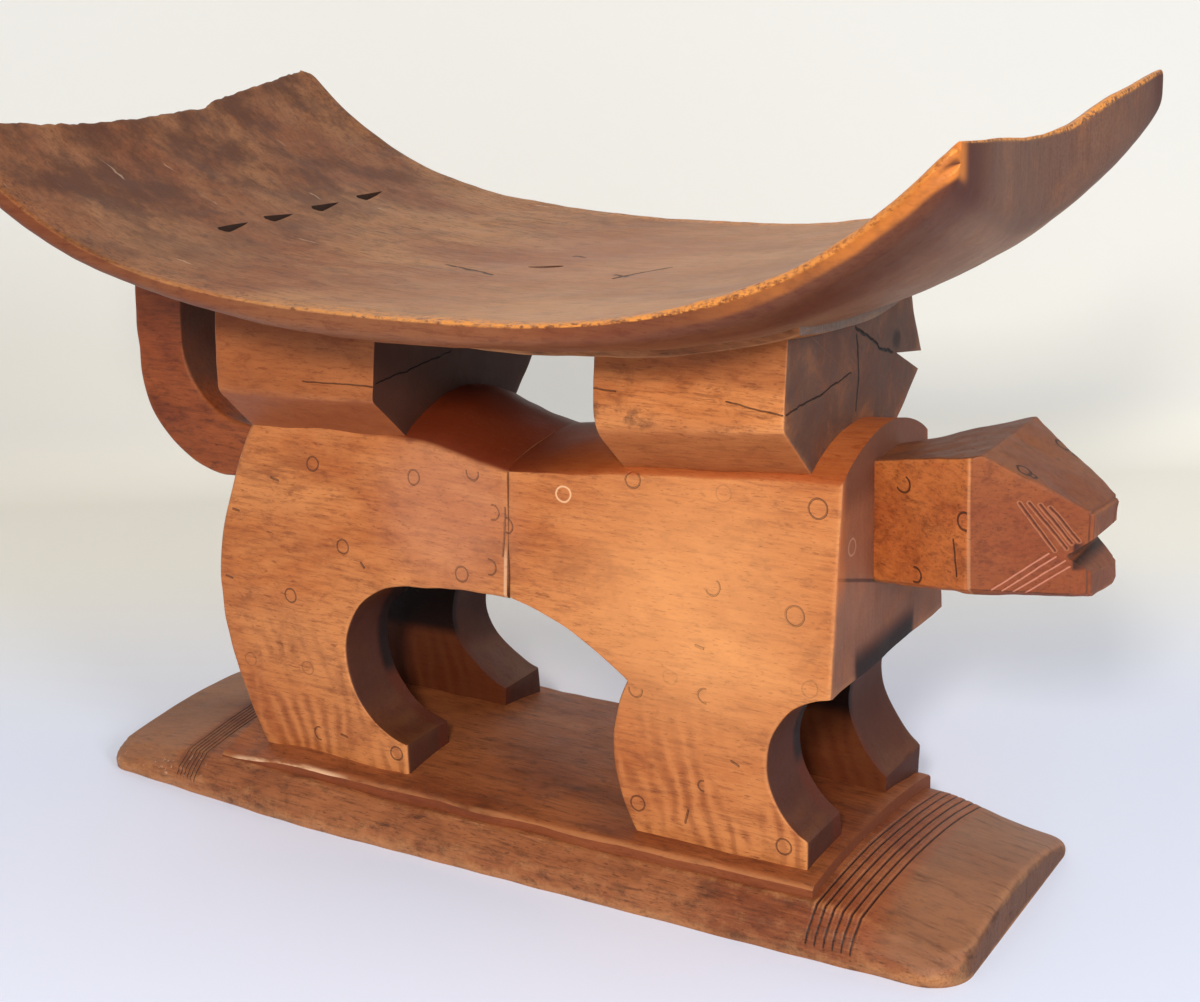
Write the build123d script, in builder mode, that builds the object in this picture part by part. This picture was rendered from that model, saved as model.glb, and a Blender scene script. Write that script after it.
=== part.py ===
"""Asante leopard stool, in millimetres.

+X points toward the leopard's head, +Z is up, and the floor is Z = 0. The origin lies under the
middle of the stool's overall length, so every X below is measured from there.
"""

from build123d import *
import os

os.makedirs("parts", exist_ok=True)

# ---- Base board -----------------------------------------------------------------------------
base_tail_x = -295.0
base_head_x = 265.0
base_tail_half_width = 97.0
base_middle_half_width = 98.5
base_head_half_width = 86.0
base_height = 30.0
base_end_height = 21.0
crown_drop = 13.0
base_corner_radius = 16.0

# ---- Plinth ---------------------------------------------------------------------------------
plinth_tail_x = -205.0
plinth_head_x = 183.0
plinth_half_width = 80.0
plinth_thickness = 7.0

# ---- Body: side view ------------------------------------------------------------------------
waist_x = -3.0
chest_x = 187.0
chest_bottom = 130.0
belly_height = 152.0
rump_x = -208.0
rump_bulge_height = 140.0
rump_top_x = -176.0
rump_top_height = 232.0
hind_heel_x = -176.0
hind_toe_x = -77.0
hind_hollow_x = -68.0
hind_hollow_height = 97.0
hind_hollow_radius = 49.0
fore_heel_x = 82.0
fore_toe_x = 175.0
fore_hollow_x = 193.0
fore_hollow_height = 90.0
fore_hollow_radius = 41.0
elbow_x = 70.0
elbow_height = 118.0
fore_calf_x = 61.0
fore_calf_height = 84.0
belly_curve_x = 39.0
belly_curve_height = 138.0
toe_height = 50.0
foot_start = 20.0
body_clear_top = 300.0

# ---- Body: cross-section --------------------------------------------------------------------
leg_half_width = 67.0
leg_gap = 56.0
leg_gap_height = 130.0
leg_gap_arch = 12.0
rump_shoulder_half_width = 54.0
rump_shoulder_height = 230.0
rump_ridge_height = 246.0
hind_ridge_x = -45.0
waist_shoulder_half_width = 60.0
waist_shoulder_height = 214.0
waist_ridge_height = 231.0
chest_shoulder_half_width = 56.0
chest_shoulder_height = 234.0
chest_ridge_height = 255.0

# ---- Head -----------------------------------------------------------------------------------
neck_half_width = 16.0
neck_bottom = 175.0
neck_top = 239.0
brow_x = 247.0
brow_half_width = 41.0
brow_bottom = 186.0
brow_top = 255.0
nose_x = 297.4
nose_half_width = 15.0
nose_top = 227.0
nose_bottom = 217.0
mouth_x = 287.0
mouth_height = 206.0
jaw_x = 296.0
jaw_top = 197.0
jaw_bottom = 186.0

# ---- Tail -----------------------------------------------------------------------------------
tail_y = -14.0
tail_width = 38.0
tail_back_x = -291.5
tail_inner_x = -255.0
tail_back_height = 258.0
tail_tip_x = -279.0
tail_tip_height = 372.0
tail_tip_mid_x = -288.5
tail_tip_mid_height = 315.0
tail_inner_tip_x = -247.0
tail_inner_tip_height = 351.0
tail_bend_x = -273.0
tail_bend_height = 202.0
tail_heel_x = -230.0
tail_root_x = -190.0
tail_root_bottom = 182.0
tail_root_top = 215.0
tail_crook_x = -243.0
tail_crook_height = 232.0

# ---- Blocks under the seat --------------------------------------------------------------------
front_block_tail_x = 63.0
front_block_head_x = 169.0
front_block_tail_crease = 258.0
front_block_head_crease = 268.0
rear_block_tail_x = -184.0
rear_block_head_x = -73.0
rear_block_tail_crease = 251.0
rear_block_head_crease = 256.0
block_top_half_width = 74.0
block_crease_half_width = 82.0
block_foot_half_width = 42.0
block_foot_drop = 38.0
block_top_depth = 6.5

# ---- Seat -----------------------------------------------------------------------------------
seat_tail_x = -298.12
seat_head_x = 275.0
seat_middle_x = -15.0
seat_flat_tail_x = -158.0
seat_flat_head_x = 128.0
seat_middle_height = 322.5
seat_flat_tail_height = 331.5
seat_flat_head_height = 334.0
seat_tail_height = 407.0
seat_head_height = 416.0
seat_overrun_x = 6.0
seat_overrun_height = 6.5
seat_sheet_half_width = 162.0
seat_edge_thickness = 15.0
seat_middle_thickness = 34.0
seat_waist_half_width = 80.0
seat_waist_thickness = 25.0
seat_dish = 4.0
seat_tail_half_width = 155.5
seat_middle_half_width = 153.0
seat_head_half_width = 143.5
seat_end_hollow = 10.7
seat_corner_radius = 5.0
seat_cut_bottom = 250.0
seat_cut_top = 450.0

# ---- Pad between the seat and the blocks --------------------------------------------------------
pad_tail_x = -183.0
pad_head_x = 179.0
pad_half_width = 86.0
pad_edge_depth = 30.0
pad_middle_depth = 38.0

# ---- Holes through the seat ---------------------------------------------------------------------
hole_count = 4
hole_row_x = -191.0
hole_row_y = 12.0
hole_spacing = 41.5
hole_round_radius = 4.8
hole_point_reach = 13.0

# ---- Dowels: fits, sizes and places -------------------------------------------------------------
dowel_fit = 0.05
dowel_end_gap = 0.5
foot_dowel_radius = 5.0
foot_dowel_bottom = 10.0
foot_dowel_top = 62.0
foot_dowel_y = 47.0
hind_foot_dowel_x = -135.0
fore_foot_dowel_x = 122.0
waist_dowel_radius = 7.0
waist_dowel_length = 70.0
waist_dowel_y = 28.0
waist_dowel_height = 186.0
neck_dowel_radius = 5.0
neck_dowel_length = 50.0
neck_dowel_height = 207.0
neck_dowel_spacing = 28.0
block_dowel_radius = 6.0
block_dowel_spacing = 56.0
body_dowel_height = 218.0
body_dowel_length = 52.0
seat_dowel_length = 38.0
tail_dowel_radius = 4.5
tail_root_dowel_length = 44.0
tail_root_dowel_height = 200.0
tail_root_dowel_x = -197.0
tail_tip_dowel_x = -264.0
tail_tip_dowel_bottom = 322.0
tail_tip_dowel_top = 362.0

# The blocks' flat tops, and the dowels above them, end inside the seat's thickness.
block_top_height = seat_middle_height - block_top_depth
front_block_x = (front_block_tail_x + front_block_head_x) / 2
rear_block_x = (rear_block_tail_x + rear_block_head_x) / 2

# Each dowel set: its planes (origin at the dowel's lower or tail end, normal along the dowel),
# its radius and its length.
foot_dowel_planes = [
    Plane((x, side * foot_dowel_y, foot_dowel_bottom))
    for x in (hind_foot_dowel_x, fore_foot_dowel_x)
    for side in (-1, 1)
]
body_dowel_planes = [
    Plane((block_x + side * block_dowel_spacing / 2, 0, body_dowel_height))
    for block_x in (rear_block_x, front_block_x)
    for side in (-1, 1)
]
seat_dowel_planes = [
    Plane((block_x, side * block_dowel_spacing / 2, block_top_height - seat_dowel_length))
    for block_x in (rear_block_x, front_block_x)
    for side in (-1, 1)
]
waist_dowel_planes = [
    Plane(
        (waist_x - waist_dowel_length / 2, side * waist_dowel_y, waist_dowel_height),
        z_dir=(1, 0, 0),
    )
    for side in (-1, 1)
]
neck_dowel_planes = [
    Plane(
        (chest_x - neck_dowel_length / 2, 0, neck_dowel_height + side * neck_dowel_spacing / 2),
        z_dir=(1, 0, 0),
    )
    for side in (-1, 1)
]
tail_root_dowel_planes = [
    Plane(
        (tail_root_dowel_x - tail_root_dowel_length / 2, tail_y, tail_root_dowel_height),
        z_dir=(1, 0, 0),
    )
]
tail_tip_dowel_planes = [Plane((tail_tip_dowel_x, tail_y, tail_tip_dowel_bottom))]


def dowels(planes, radius, length):
    """Add one dowel on each plane to the part being built."""
    for plane in planes:
        with BuildSketch(plane) as dowel_end:
            Circle(radius)
        extrude(dowel_end.sketch, amount=length)


def bores(planes, radius, length):
    """Cut the hole of each dowel from the part being built, with the fit and the end gaps."""
    for plane in planes:
        with BuildSketch(plane.offset(-dowel_end_gap)) as hole:
            Circle(radius + dowel_fit)
        extrude(hole.sketch, amount=length + 2 * dowel_end_gap, mode=Mode.SUBTRACT)


def foot_bores():
    """Cut the four foot dowel holes."""
    bores(foot_dowel_planes, foot_dowel_radius, foot_dowel_top - foot_dowel_bottom)


def body_bores():
    """Cut the holes of the dowels between the blocks and the body."""
    bores(body_dowel_planes, block_dowel_radius, body_dowel_length)


def seat_bores():
    """Cut the holes of the dowels that run from the blocks through the pad into the seat."""
    bores(seat_dowel_planes, block_dowel_radius, seat_dowel_length)


def waist_bores():
    """Cut the two holes across the joint at the waist."""
    bores(waist_dowel_planes, waist_dowel_radius, waist_dowel_length)


def crowned_outline(half_width, top, edge):
    """Draw a flat-bottomed board's cross-section, its top an arc from edge up to top."""
    Polyline((half_width, edge), (half_width, 0), (-half_width, 0), (-half_width, edge))
    ThreePointArc((-half_width, edge), (0, top), (half_width, edge))


def body_outline(shoulder_half_width, shoulder_height, ridge_height):
    """Draw the body's cross-section: straight flanks up to the shoulders, then an arched back."""
    Polyline(
        (-shoulder_half_width, shoulder_height),
        (-leg_half_width, chest_bottom),
        (-leg_half_width, 0),
        (leg_half_width, 0),
        (leg_half_width, chest_bottom),
        (shoulder_half_width, shoulder_height),
    )
    ThreePointArc(
        (shoulder_half_width, shoulder_height),
        (0, ridge_height),
        (-shoulder_half_width, shoulder_height),
    )


def seat_underside():
    """Draw the seat's hull-shaped underside as two shallow arcs that meet in the middle."""
    ThreePointArc(
        (seat_sheet_half_width, -seat_edge_thickness),
        (seat_waist_half_width, -seat_waist_thickness),
        (0, -seat_middle_thickness),
    )
    ThreePointArc(
        (0, -seat_middle_thickness),
        (-seat_waist_half_width, -seat_waist_thickness),
        (-seat_sheet_half_width, -seat_edge_thickness),
    )


def block_section(crease_height):
    """Draw a block's cross-section: sides that lean out to a crease, then in to its foot."""
    Polygon(
        (-block_top_half_width, block_top_height),
        (-block_crease_half_width, crease_height),
        (-block_foot_half_width, crease_height - block_foot_drop),
        (block_foot_half_width, crease_height - block_foot_drop),
        (block_crease_half_width, crease_height),
        (block_top_half_width, block_top_height),
        align=None,
    )


def leg_gap_cut():
    """Cut the arched gap that parts the left legs from the right legs."""
    with BuildSketch(Plane.YZ) as gap:
        with BuildLine():
            Polyline(
                (-leg_gap / 2, leg_gap_height - leg_gap_arch),
                (-leg_gap / 2, 0),
                (leg_gap / 2, 0),
                (leg_gap / 2, leg_gap_height - leg_gap_arch),
            )
            ThreePointArc(
                (leg_gap / 2, leg_gap_height - leg_gap_arch),
                (0, leg_gap_height),
                (-leg_gap / 2, leg_gap_height - leg_gap_arch),
            )
        make_face()
    extrude(gap.sketch, amount=base_head_x, both=True, mode=Mode.SUBTRACT)


# ---- Base board: crowned across, thinner toward its ends ----------------------------------------
with BuildPart() as base:
    for station_x, crown_height in (
        (base_tail_x, base_end_height),
        (plinth_tail_x, base_height),
        (plinth_head_x, base_height),
        (base_head_x, base_end_height),
    ):
        with BuildSketch(Plane.YZ.offset(station_x)):
            with BuildLine():
                crowned_outline(base_middle_half_width, crown_height, crown_height - crown_drop)
            make_face()
    loft(ruled=True)
    with BuildSketch(Plane.XY):
        base_middle_x = (base_tail_x + base_head_x) / 2
        with BuildLine():
            ThreePointArc(
                (base_tail_x, base_tail_half_width),
                (base_middle_x, base_middle_half_width),
                (base_head_x, base_head_half_width),
            )
            Line((base_head_x, base_head_half_width), (base_head_x, -base_head_half_width))
            ThreePointArc(
                (base_head_x, -base_head_half_width),
                (base_middle_x, -base_middle_half_width),
                (base_tail_x, -base_tail_half_width),
            )
            Line((base_tail_x, -base_tail_half_width), (base_tail_x, base_tail_half_width))
        base_outline = make_face()
        fillet(base_outline.vertices(), base_corner_radius)
    extrude(amount=base_height, mode=Mode.INTERSECT)
    foot_bores()

# ---- Plinth: a step that follows the base's crown -----------------------------------------------
with BuildPart() as plinth:
    with BuildSketch(Plane.YZ.offset(plinth_tail_x)):
        plinth_top = base_height + plinth_thickness
        plinth_edge = plinth_top - crown_drop * (plinth_half_width / base_middle_half_width) ** 2
        with BuildLine():
            crowned_outline(plinth_half_width, plinth_top, plinth_edge)
        make_face()
    extrude(amount=plinth_head_x - plinth_tail_x)
    add(base.part, mode=Mode.SUBTRACT)
    foot_bores()

# ---- Hindquarters: rump, hind legs and the C-shaped hollow in front of them ----------------------
with BuildPart() as hindquarters:
    for station_x, shoulder_half_width, shoulder_height, ridge_height in (
        (rump_x, rump_shoulder_half_width, rump_shoulder_height, rump_ridge_height),
        (hind_ridge_x, rump_shoulder_half_width, rump_shoulder_height, rump_ridge_height),
        (waist_x, waist_shoulder_half_width, waist_shoulder_height, waist_ridge_height),
    ):
        with BuildSketch(Plane.YZ.offset(station_x)):
            with BuildLine():
                body_outline(shoulder_half_width, shoulder_height, ridge_height)
            make_face()
    loft(ruled=True)
    with BuildSketch(Plane.XZ):
        with BuildLine():
            Polyline(
                (waist_x, belly_height),
                (waist_x, body_clear_top),
                (rump_top_x, body_clear_top),
                (rump_top_x, rump_top_height),
            )
            ThreePointArc(
                (rump_top_x, rump_top_height),
                (rump_x, rump_bulge_height),
                (hind_heel_x, foot_start),
            )
            Polyline(
                (hind_heel_x, foot_start),
                (hind_toe_x, foot_start),
                (hind_toe_x, toe_height),
            )
            ThreePointArc(
                (hind_toe_x, toe_height),
                (hind_hollow_x - hind_hollow_radius, hind_hollow_height),
                (hind_hollow_x, hind_hollow_height + hind_hollow_radius),
            )
            Line((hind_hollow_x, hind_hollow_height + hind_hollow_radius), (waist_x, belly_height))
        make_face()
    extrude(amount=leg_half_width, both=True, mode=Mode.INTERSECT)
    leg_gap_cut()
    add(base.part, mode=Mode.SUBTRACT)
    add(plinth.part, mode=Mode.SUBTRACT)
    foot_bores()
    waist_bores()
    body_bores()
    bores(tail_root_dowel_planes, tail_dowel_radius, tail_root_dowel_length)

# ---- Forequarters: chest, fore legs, the hollow under the throat and the belly ------------------
with BuildPart() as forequarters:
    for station_x, shoulder_half_width, shoulder_height, ridge_height in (
        (waist_x, waist_shoulder_half_width, waist_shoulder_height, waist_ridge_height),
        (chest_x, chest_shoulder_half_width, chest_shoulder_height, chest_ridge_height),
    ):
        with BuildSketch(Plane.YZ.offset(station_x)):
            with BuildLine():
                body_outline(shoulder_half_width, shoulder_height, ridge_height)
            make_face()
    loft(ruled=True)
    with BuildSketch(Plane.XZ):
        with BuildLine():
            Polyline(
                (waist_x, belly_height),
                (waist_x, body_clear_top),
                (chest_x, body_clear_top),
                (chest_x, chest_bottom),
            )
            ThreePointArc(
                (chest_x, chest_bottom),
                (fore_hollow_x - fore_hollow_radius, fore_hollow_height),
                (fore_toe_x, toe_height),
            )
            Polyline(
                (fore_toe_x, toe_height),
                (fore_toe_x, foot_start),
                (fore_heel_x, foot_start),
            )
            ThreePointArc(
                (fore_heel_x, foot_start),
                (fore_calf_x, fore_calf_height),
                (elbow_x, elbow_height),
            )
            ThreePointArc(
                (elbow_x, elbow_height),
                (belly_curve_x, belly_curve_height),
                (waist_x, belly_height),
            )
        make_face()
    extrude(amount=leg_half_width, both=True, mode=Mode.INTERSECT)
    leg_gap_cut()
    add(base.part, mode=Mode.SUBTRACT)
    add(plinth.part, mode=Mode.SUBTRACT)
    foot_bores()
    waist_bores()
    body_bores()
    bores(neck_dowel_planes, neck_dowel_radius, neck_dowel_length)

# ---- Head: a diamond in plan, with the open mouth cut across the snout --------------------------
with BuildPart() as head:
    with BuildSketch(Plane.XY.offset(neck_bottom)):
        Polygon(
            (chest_x, neck_half_width),
            (brow_x, brow_half_width),
            (nose_x, nose_half_width),
            (nose_x, -nose_half_width),
            (brow_x, -brow_half_width),
            (chest_x, -neck_half_width),
            align=None,
        )
    extrude(amount=brow_top - neck_bottom)
    with BuildSketch(Plane.XZ):
        Polygon(
            (chest_x, neck_bottom),
            (brow_x, brow_bottom),
            (jaw_x, jaw_bottom),
            (jaw_x, jaw_top),
            (mouth_x, mouth_height),
            (nose_x, nose_bottom),
            (nose_x, nose_top),
            (brow_x, brow_top),
            (chest_x, neck_top),
            align=None,
        )
    extrude(amount=brow_half_width, both=True, mode=Mode.INTERSECT)
    bores(neck_dowel_planes, neck_dowel_radius, neck_dowel_length)

# ---- Seat: a dished board swept along three tangent arcs, then cut to its plan ------------------
with BuildPart() as seat:
    with BuildLine(Plane.XZ) as seat_curve:
        flat_arc = ThreePointArc(
            (seat_flat_tail_x, seat_flat_tail_height),
            (seat_middle_x, seat_middle_height),
            (seat_flat_head_x, seat_flat_head_height),
        )
        tail_slope = flat_arc % 0
        head_slope = flat_arc % 1
        TangentArc(
            (seat_flat_head_x, seat_flat_head_height),
            (seat_head_x + seat_overrun_x, seat_head_height + seat_overrun_height),
            tangent=(head_slope.X, head_slope.Z),
        )
        TangentArc(
            (seat_flat_tail_x, seat_flat_tail_height),
            (seat_tail_x - seat_overrun_x, seat_tail_height + seat_overrun_height),
            tangent=(-tail_slope.X, -tail_slope.Z),
        )
    seat_path = seat_curve.line
    with BuildSketch(Plane(seat_path @ 0, x_dir=(0, 1, 0), z_dir=seat_path % 0)):
        with BuildLine():
            ThreePointArc(
                (-seat_sheet_half_width, 0), (0, -seat_dish), (seat_sheet_half_width, 0)
            )
            Line((seat_sheet_half_width, 0), (seat_sheet_half_width, -seat_edge_thickness))
            seat_underside()
            Line((-seat_sheet_half_width, -seat_edge_thickness), (-seat_sheet_half_width, 0))
        make_face()
    sweep(path=seat_path)
    with BuildSketch(Plane.XY.offset(seat_cut_bottom)):
        seat_plan_middle_x = (seat_tail_x + seat_head_x) / 2
        with BuildLine():
            ThreePointArc(
                (seat_tail_x, seat_tail_half_width),
                (seat_plan_middle_x, seat_middle_half_width),
                (seat_head_x, seat_head_half_width),
            )
            ThreePointArc(
                (seat_head_x, seat_head_half_width),
                (seat_head_x - seat_end_hollow, 0),
                (seat_head_x, -seat_head_half_width),
            )
            ThreePointArc(
                (seat_head_x, -seat_head_half_width),
                (seat_plan_middle_x, -seat_middle_half_width),
                (seat_tail_x, -seat_tail_half_width),
            )
            ThreePointArc(
                (seat_tail_x, -seat_tail_half_width),
                (seat_tail_x + seat_end_hollow, 0),
                (seat_tail_x, seat_tail_half_width),
            )
        seat_plan = make_face()
        fillet(seat_plan.vertices(), seat_corner_radius)
    extrude(amount=seat_cut_top - seat_cut_bottom, mode=Mode.INTERSECT)
    for hole in range(hole_count):
        hole_y = hole_row_y + (hole - (hole_count - 1) / 2) * hole_spacing
        with BuildSketch(Plane((hole_row_x, hole_y, seat_cut_bottom))):
            Circle(hole_round_radius)
            Polygon(
                (-hole_round_radius, 0),
                (hole_round_radius, 0),
                (0, hole_point_reach),
                align=None,
            )
        extrude(amount=seat_cut_top - seat_cut_bottom, mode=Mode.SUBTRACT)
    seat_bores()
    bores(
        tail_tip_dowel_planes, tail_dowel_radius, tail_tip_dowel_top - tail_tip_dowel_bottom
    )

# ---- Pad: the plate between the seat and the blocks ---------------------------------------------
with BuildPart() as seat_pad:
    with BuildSketch(Plane(seat_path @ 0, x_dir=(0, 1, 0), z_dir=seat_path % 0)):
        with BuildLine():
            Polyline(
                (pad_half_width, -pad_edge_depth),
                (pad_half_width, 0),
                (-pad_half_width, 0),
                (-pad_half_width, -pad_edge_depth),
            )
            ThreePointArc(
                (-pad_half_width, -pad_edge_depth),
                (0, -pad_middle_depth),
                (pad_half_width, -pad_edge_depth),
            )
        make_face()
    sweep(path=seat_path)
    with BuildSketch(Plane.XY.offset(seat_cut_bottom)):
        with Locations(((pad_tail_x + pad_head_x) / 2, 0)):
            Rectangle(pad_head_x - pad_tail_x, 2 * pad_half_width)
    extrude(amount=seat_cut_top - seat_cut_bottom, mode=Mode.INTERSECT)
    with BuildSketch(Plane(seat_path @ 0, x_dir=(0, 1, 0), z_dir=seat_path % 0)):
        with BuildLine():
            Polyline(
                (-seat_sheet_half_width, -seat_edge_thickness),
                (-seat_sheet_half_width, pad_edge_depth),
                (seat_sheet_half_width, pad_edge_depth),
                (seat_sheet_half_width, -seat_edge_thickness),
            )
            seat_underside()
        make_face()
    sweep(path=seat_path, mode=Mode.SUBTRACT)
    seat_bores()

# ---- Blocks: two prisms that carry the seat on the leopard's back --------------------------------
with BuildPart() as rear_block:
    for station_x, crease_height in (
        (rear_block_tail_x, rear_block_tail_crease),
        (rear_block_head_x, rear_block_head_crease),
    ):
        with BuildSketch(Plane.YZ.offset(station_x)):
            block_section(crease_height)
    loft(ruled=True)
    add(seat_pad.part, mode=Mode.SUBTRACT)
    add(seat.part, mode=Mode.SUBTRACT)
    add(hindquarters.part, mode=Mode.SUBTRACT)
    seat_bores()
    body_bores()

with BuildPart() as front_block:
    for station_x, crease_height in (
        (front_block_tail_x, front_block_tail_crease),
        (front_block_head_x, front_block_head_crease),
    ):
        with BuildSketch(Plane.YZ.offset(station_x)):
            block_section(crease_height)
    loft(ruled=True)
    add(seat_pad.part, mode=Mode.SUBTRACT)
    add(seat.part, mode=Mode.SUBTRACT)
    add(forequarters.part, mode=Mode.SUBTRACT)
    seat_bores()
    body_bores()

# ---- Tail: a curved strap from the rump up to the seat's end ------------------------------------
with BuildPart() as tail:
    with BuildSketch(Plane.XZ.offset(-tail_y)):
        with BuildLine():
            ThreePointArc(
                (tail_tip_x, tail_tip_height),
                (tail_tip_mid_x, tail_tip_mid_height),
                (tail_back_x, tail_back_height),
            )
            ThreePointArc(
                (tail_back_x, tail_back_height),
                (tail_bend_x, tail_bend_height),
                (tail_heel_x, tail_root_bottom),
            )
            Polyline(
                (tail_heel_x, tail_root_bottom),
                (tail_root_x, tail_root_bottom),
                (tail_root_x, tail_root_top),
            )
            ThreePointArc(
                (tail_root_x, tail_root_top),
                (tail_crook_x, tail_crook_height),
                (tail_inner_x, tail_back_height),
            )
            Polyline(
                (tail_inner_x, tail_back_height),
                (tail_inner_tip_x, tail_inner_tip_height),
                (tail_tip_x, tail_tip_height),
            )
        make_face()
    extrude(amount=tail_width / 2, both=True)
    add(seat.part, mode=Mode.SUBTRACT)
    add(hindquarters.part, mode=Mode.SUBTRACT)
    bores(
        tail_tip_dowel_planes, tail_dowel_radius, tail_tip_dowel_top - tail_tip_dowel_bottom
    )
    bores(tail_root_dowel_planes, tail_dowel_radius, tail_root_dowel_length)

# ---- Dowels -------------------------------------------------------------------------------------
with BuildPart() as foot_dowels:
    dowels(foot_dowel_planes, foot_dowel_radius, foot_dowel_top - foot_dowel_bottom)

with BuildPart() as body_dowels:
    dowels(body_dowel_planes, block_dowel_radius, body_dowel_length)

with BuildPart() as seat_dowels:
    dowels(seat_dowel_planes, block_dowel_radius, seat_dowel_length)

with BuildPart() as waist_dowels:
    dowels(waist_dowel_planes, waist_dowel_radius, waist_dowel_length)

with BuildPart() as neck_dowels:
    dowels(neck_dowel_planes, neck_dowel_radius, neck_dowel_length)

with BuildPart() as tail_root_dowel:
    dowels(tail_root_dowel_planes, tail_dowel_radius, tail_root_dowel_length)

with BuildPart() as tail_tip_dowel:
    dowels(
        tail_tip_dowel_planes, tail_dowel_radius, tail_tip_dowel_top - tail_tip_dowel_bottom
    )

for name, block in (
    ("base", base),
    ("plinth", plinth),
    ("hindquarters", hindquarters),
    ("forequarters", forequarters),
    ("head", head),
    ("tail", tail),
    ("rear_block", rear_block),
    ("front_block", front_block),
    ("seat_pad", seat_pad),
    ("seat", seat),
    ("foot_dowels", foot_dowels),
    ("body_dowels", body_dowels),
    ("seat_dowels", seat_dowels),
    ("waist_dowels", waist_dowels),
    ("neck_dowels", neck_dowels),
    ("tail_root_dowel", tail_root_dowel),
    ("tail_tip_dowel", tail_tip_dowel),
):
    block.part.label = name
    export_step(block.part, "parts/" + name + ".step")
    bounds = block.part.bounding_box()
    print(name, len(block.part.solids()), round(block.part.volume), bounds)
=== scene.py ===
"""Asante leopard stool: carved seat, leopard and base board, with their finishes, floor and light.

Metres; +X points toward the leopard's head, +Z up, and the floor is at Z = 0.
"""

import bpy
import numpy as np
from mathutils import Matrix


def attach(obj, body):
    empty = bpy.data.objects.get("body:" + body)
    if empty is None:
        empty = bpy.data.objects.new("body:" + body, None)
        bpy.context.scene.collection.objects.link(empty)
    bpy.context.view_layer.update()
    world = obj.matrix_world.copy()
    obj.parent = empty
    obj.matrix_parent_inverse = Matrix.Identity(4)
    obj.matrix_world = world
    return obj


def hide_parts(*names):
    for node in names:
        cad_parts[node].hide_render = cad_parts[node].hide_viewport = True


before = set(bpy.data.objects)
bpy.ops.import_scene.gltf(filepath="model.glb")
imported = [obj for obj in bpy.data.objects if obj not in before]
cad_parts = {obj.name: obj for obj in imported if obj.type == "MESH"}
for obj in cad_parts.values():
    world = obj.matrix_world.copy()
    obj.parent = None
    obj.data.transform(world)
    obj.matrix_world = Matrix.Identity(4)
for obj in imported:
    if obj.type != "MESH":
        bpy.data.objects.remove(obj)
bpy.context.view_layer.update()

# ---------------------------------------------------------------------------------------------
# Base board. One hardwood plank, hewn with a crowned top that thins toward both ends, its rim
# rounded by years of handling, with a band of chiselled grooves across each end. Dowels through
# the feet and the plinth hold it.


def rounded_loops(corners, radii, edge_points=8, bend_points=5):
    """Closed loops through rows of corners, with each corner rounded.

    corners is (rows, corners, 3). Beside each corner the loop leaves the straight edge at the
    corner's radius (no more than 0.48 of the edge) and follows a quadratic curve past it.
    """
    corners = np.asarray(corners, float)
    rows, count = corners.shape[:2]
    radii = np.broadcast_to(np.asarray(radii, float), (rows, count))[..., None]
    to_next = np.roll(corners, -1, axis=1) - corners
    length = np.linalg.norm(to_next, axis=2, keepdims=True)
    reach_next = np.minimum(radii, 0.48 * length)
    reach_back = np.minimum(radii, 0.48 * np.roll(length, 1, axis=1))
    unit = to_next / length
    start = corners - np.roll(unit, 1, axis=1) * reach_back
    end = corners + unit * reach_next
    bend = np.linspace(0, 1, bend_points)[None, None, :, None]
    curve = (1 - bend) ** 2 * start[:, :, None] + 2 * bend * (1 - bend) * corners[:, :, None]
    curve = curve + bend**2 * end[:, :, None]
    run = np.linspace(0, 1, edge_points + 2)[1:-1][None, None, :, None]
    straight = end[:, :, None] * (1 - run) + np.roll(start, -1, axis=1)[:, :, None] * run
    return np.concatenate([curve, straight], axis=2).reshape(rows, -1, 3)


def wander(points, wave, seed):
    """Smooth random swells between about -1 and 1: the mean of 12 sines of random direction.

    wave is the typical wavelength in metres, one value or one for each axis.
    """
    draw = np.random.default_rng(seed)
    directions = draw.normal(size=(12, 3))
    directions /= np.linalg.norm(directions, axis=1, keepdims=True)
    stretch = draw.uniform(0.6, 1.6, size=(12, 1))
    pace = 2 * np.pi * directions * stretch / np.broadcast_to(np.asarray(wave, float), 3)
    return np.sin(points @ pace.T + draw.uniform(0, 2 * np.pi, 12)).sum(axis=-1) / 4.0


def loop_normals(grid):
    """Unit normals of a grid of closed loops: the cross product of its two directions."""
    around = np.roll(grid, -1, axis=1) - np.roll(grid, 1, axis=1)
    along = np.gradient(grid, axis=0)
    normal = np.cross(around, along)
    return normal / np.maximum(np.linalg.norm(normal, axis=2, keepdims=True), 1e-12)


def rounded_end(loop, axis, radius, steps=4):
    """Loops that round a piece's end over: each is moved in and out along a quarter circle."""
    around = np.roll(loop, -1, axis=0) - np.roll(loop, 1, axis=0)
    outward = np.cross(around, axis)
    outward /= np.maximum(np.linalg.norm(outward, axis=1, keepdims=True), 1e-12)
    if ((loop - loop.mean(axis=0)) * outward).sum() < 0:
        outward = -outward
    turn = np.linspace(0, np.pi / 2, steps + 1)[:, None, None]
    return loop - outward * radius * (1 - np.cos(turn)) - axis * radius * (1 - np.sin(turn))


def inside_corner(past, radius):
    """How far a round corner lies inside its straight side, at a distance past its start."""
    past = np.clip(past, 0, radius)
    return radius - np.sqrt(radius**2 - past**2)


def soft_line(points, place, blur):
    """Values along a line of (place, value) points, its bends eased over the blur's width."""
    places, values = np.transpose(points)
    shifts = np.linspace(-blur, blur, 9)
    return np.mean([np.interp(place + shift, places, values) for shift in shifts], axis=0)


def smooth_step(value, low, high):
    """0 below low, 1 above high, an S-curve between."""
    share = np.clip((value - low) / (high - low), 0, 1)
    return share**2 * (3 - 2 * share)


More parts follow.
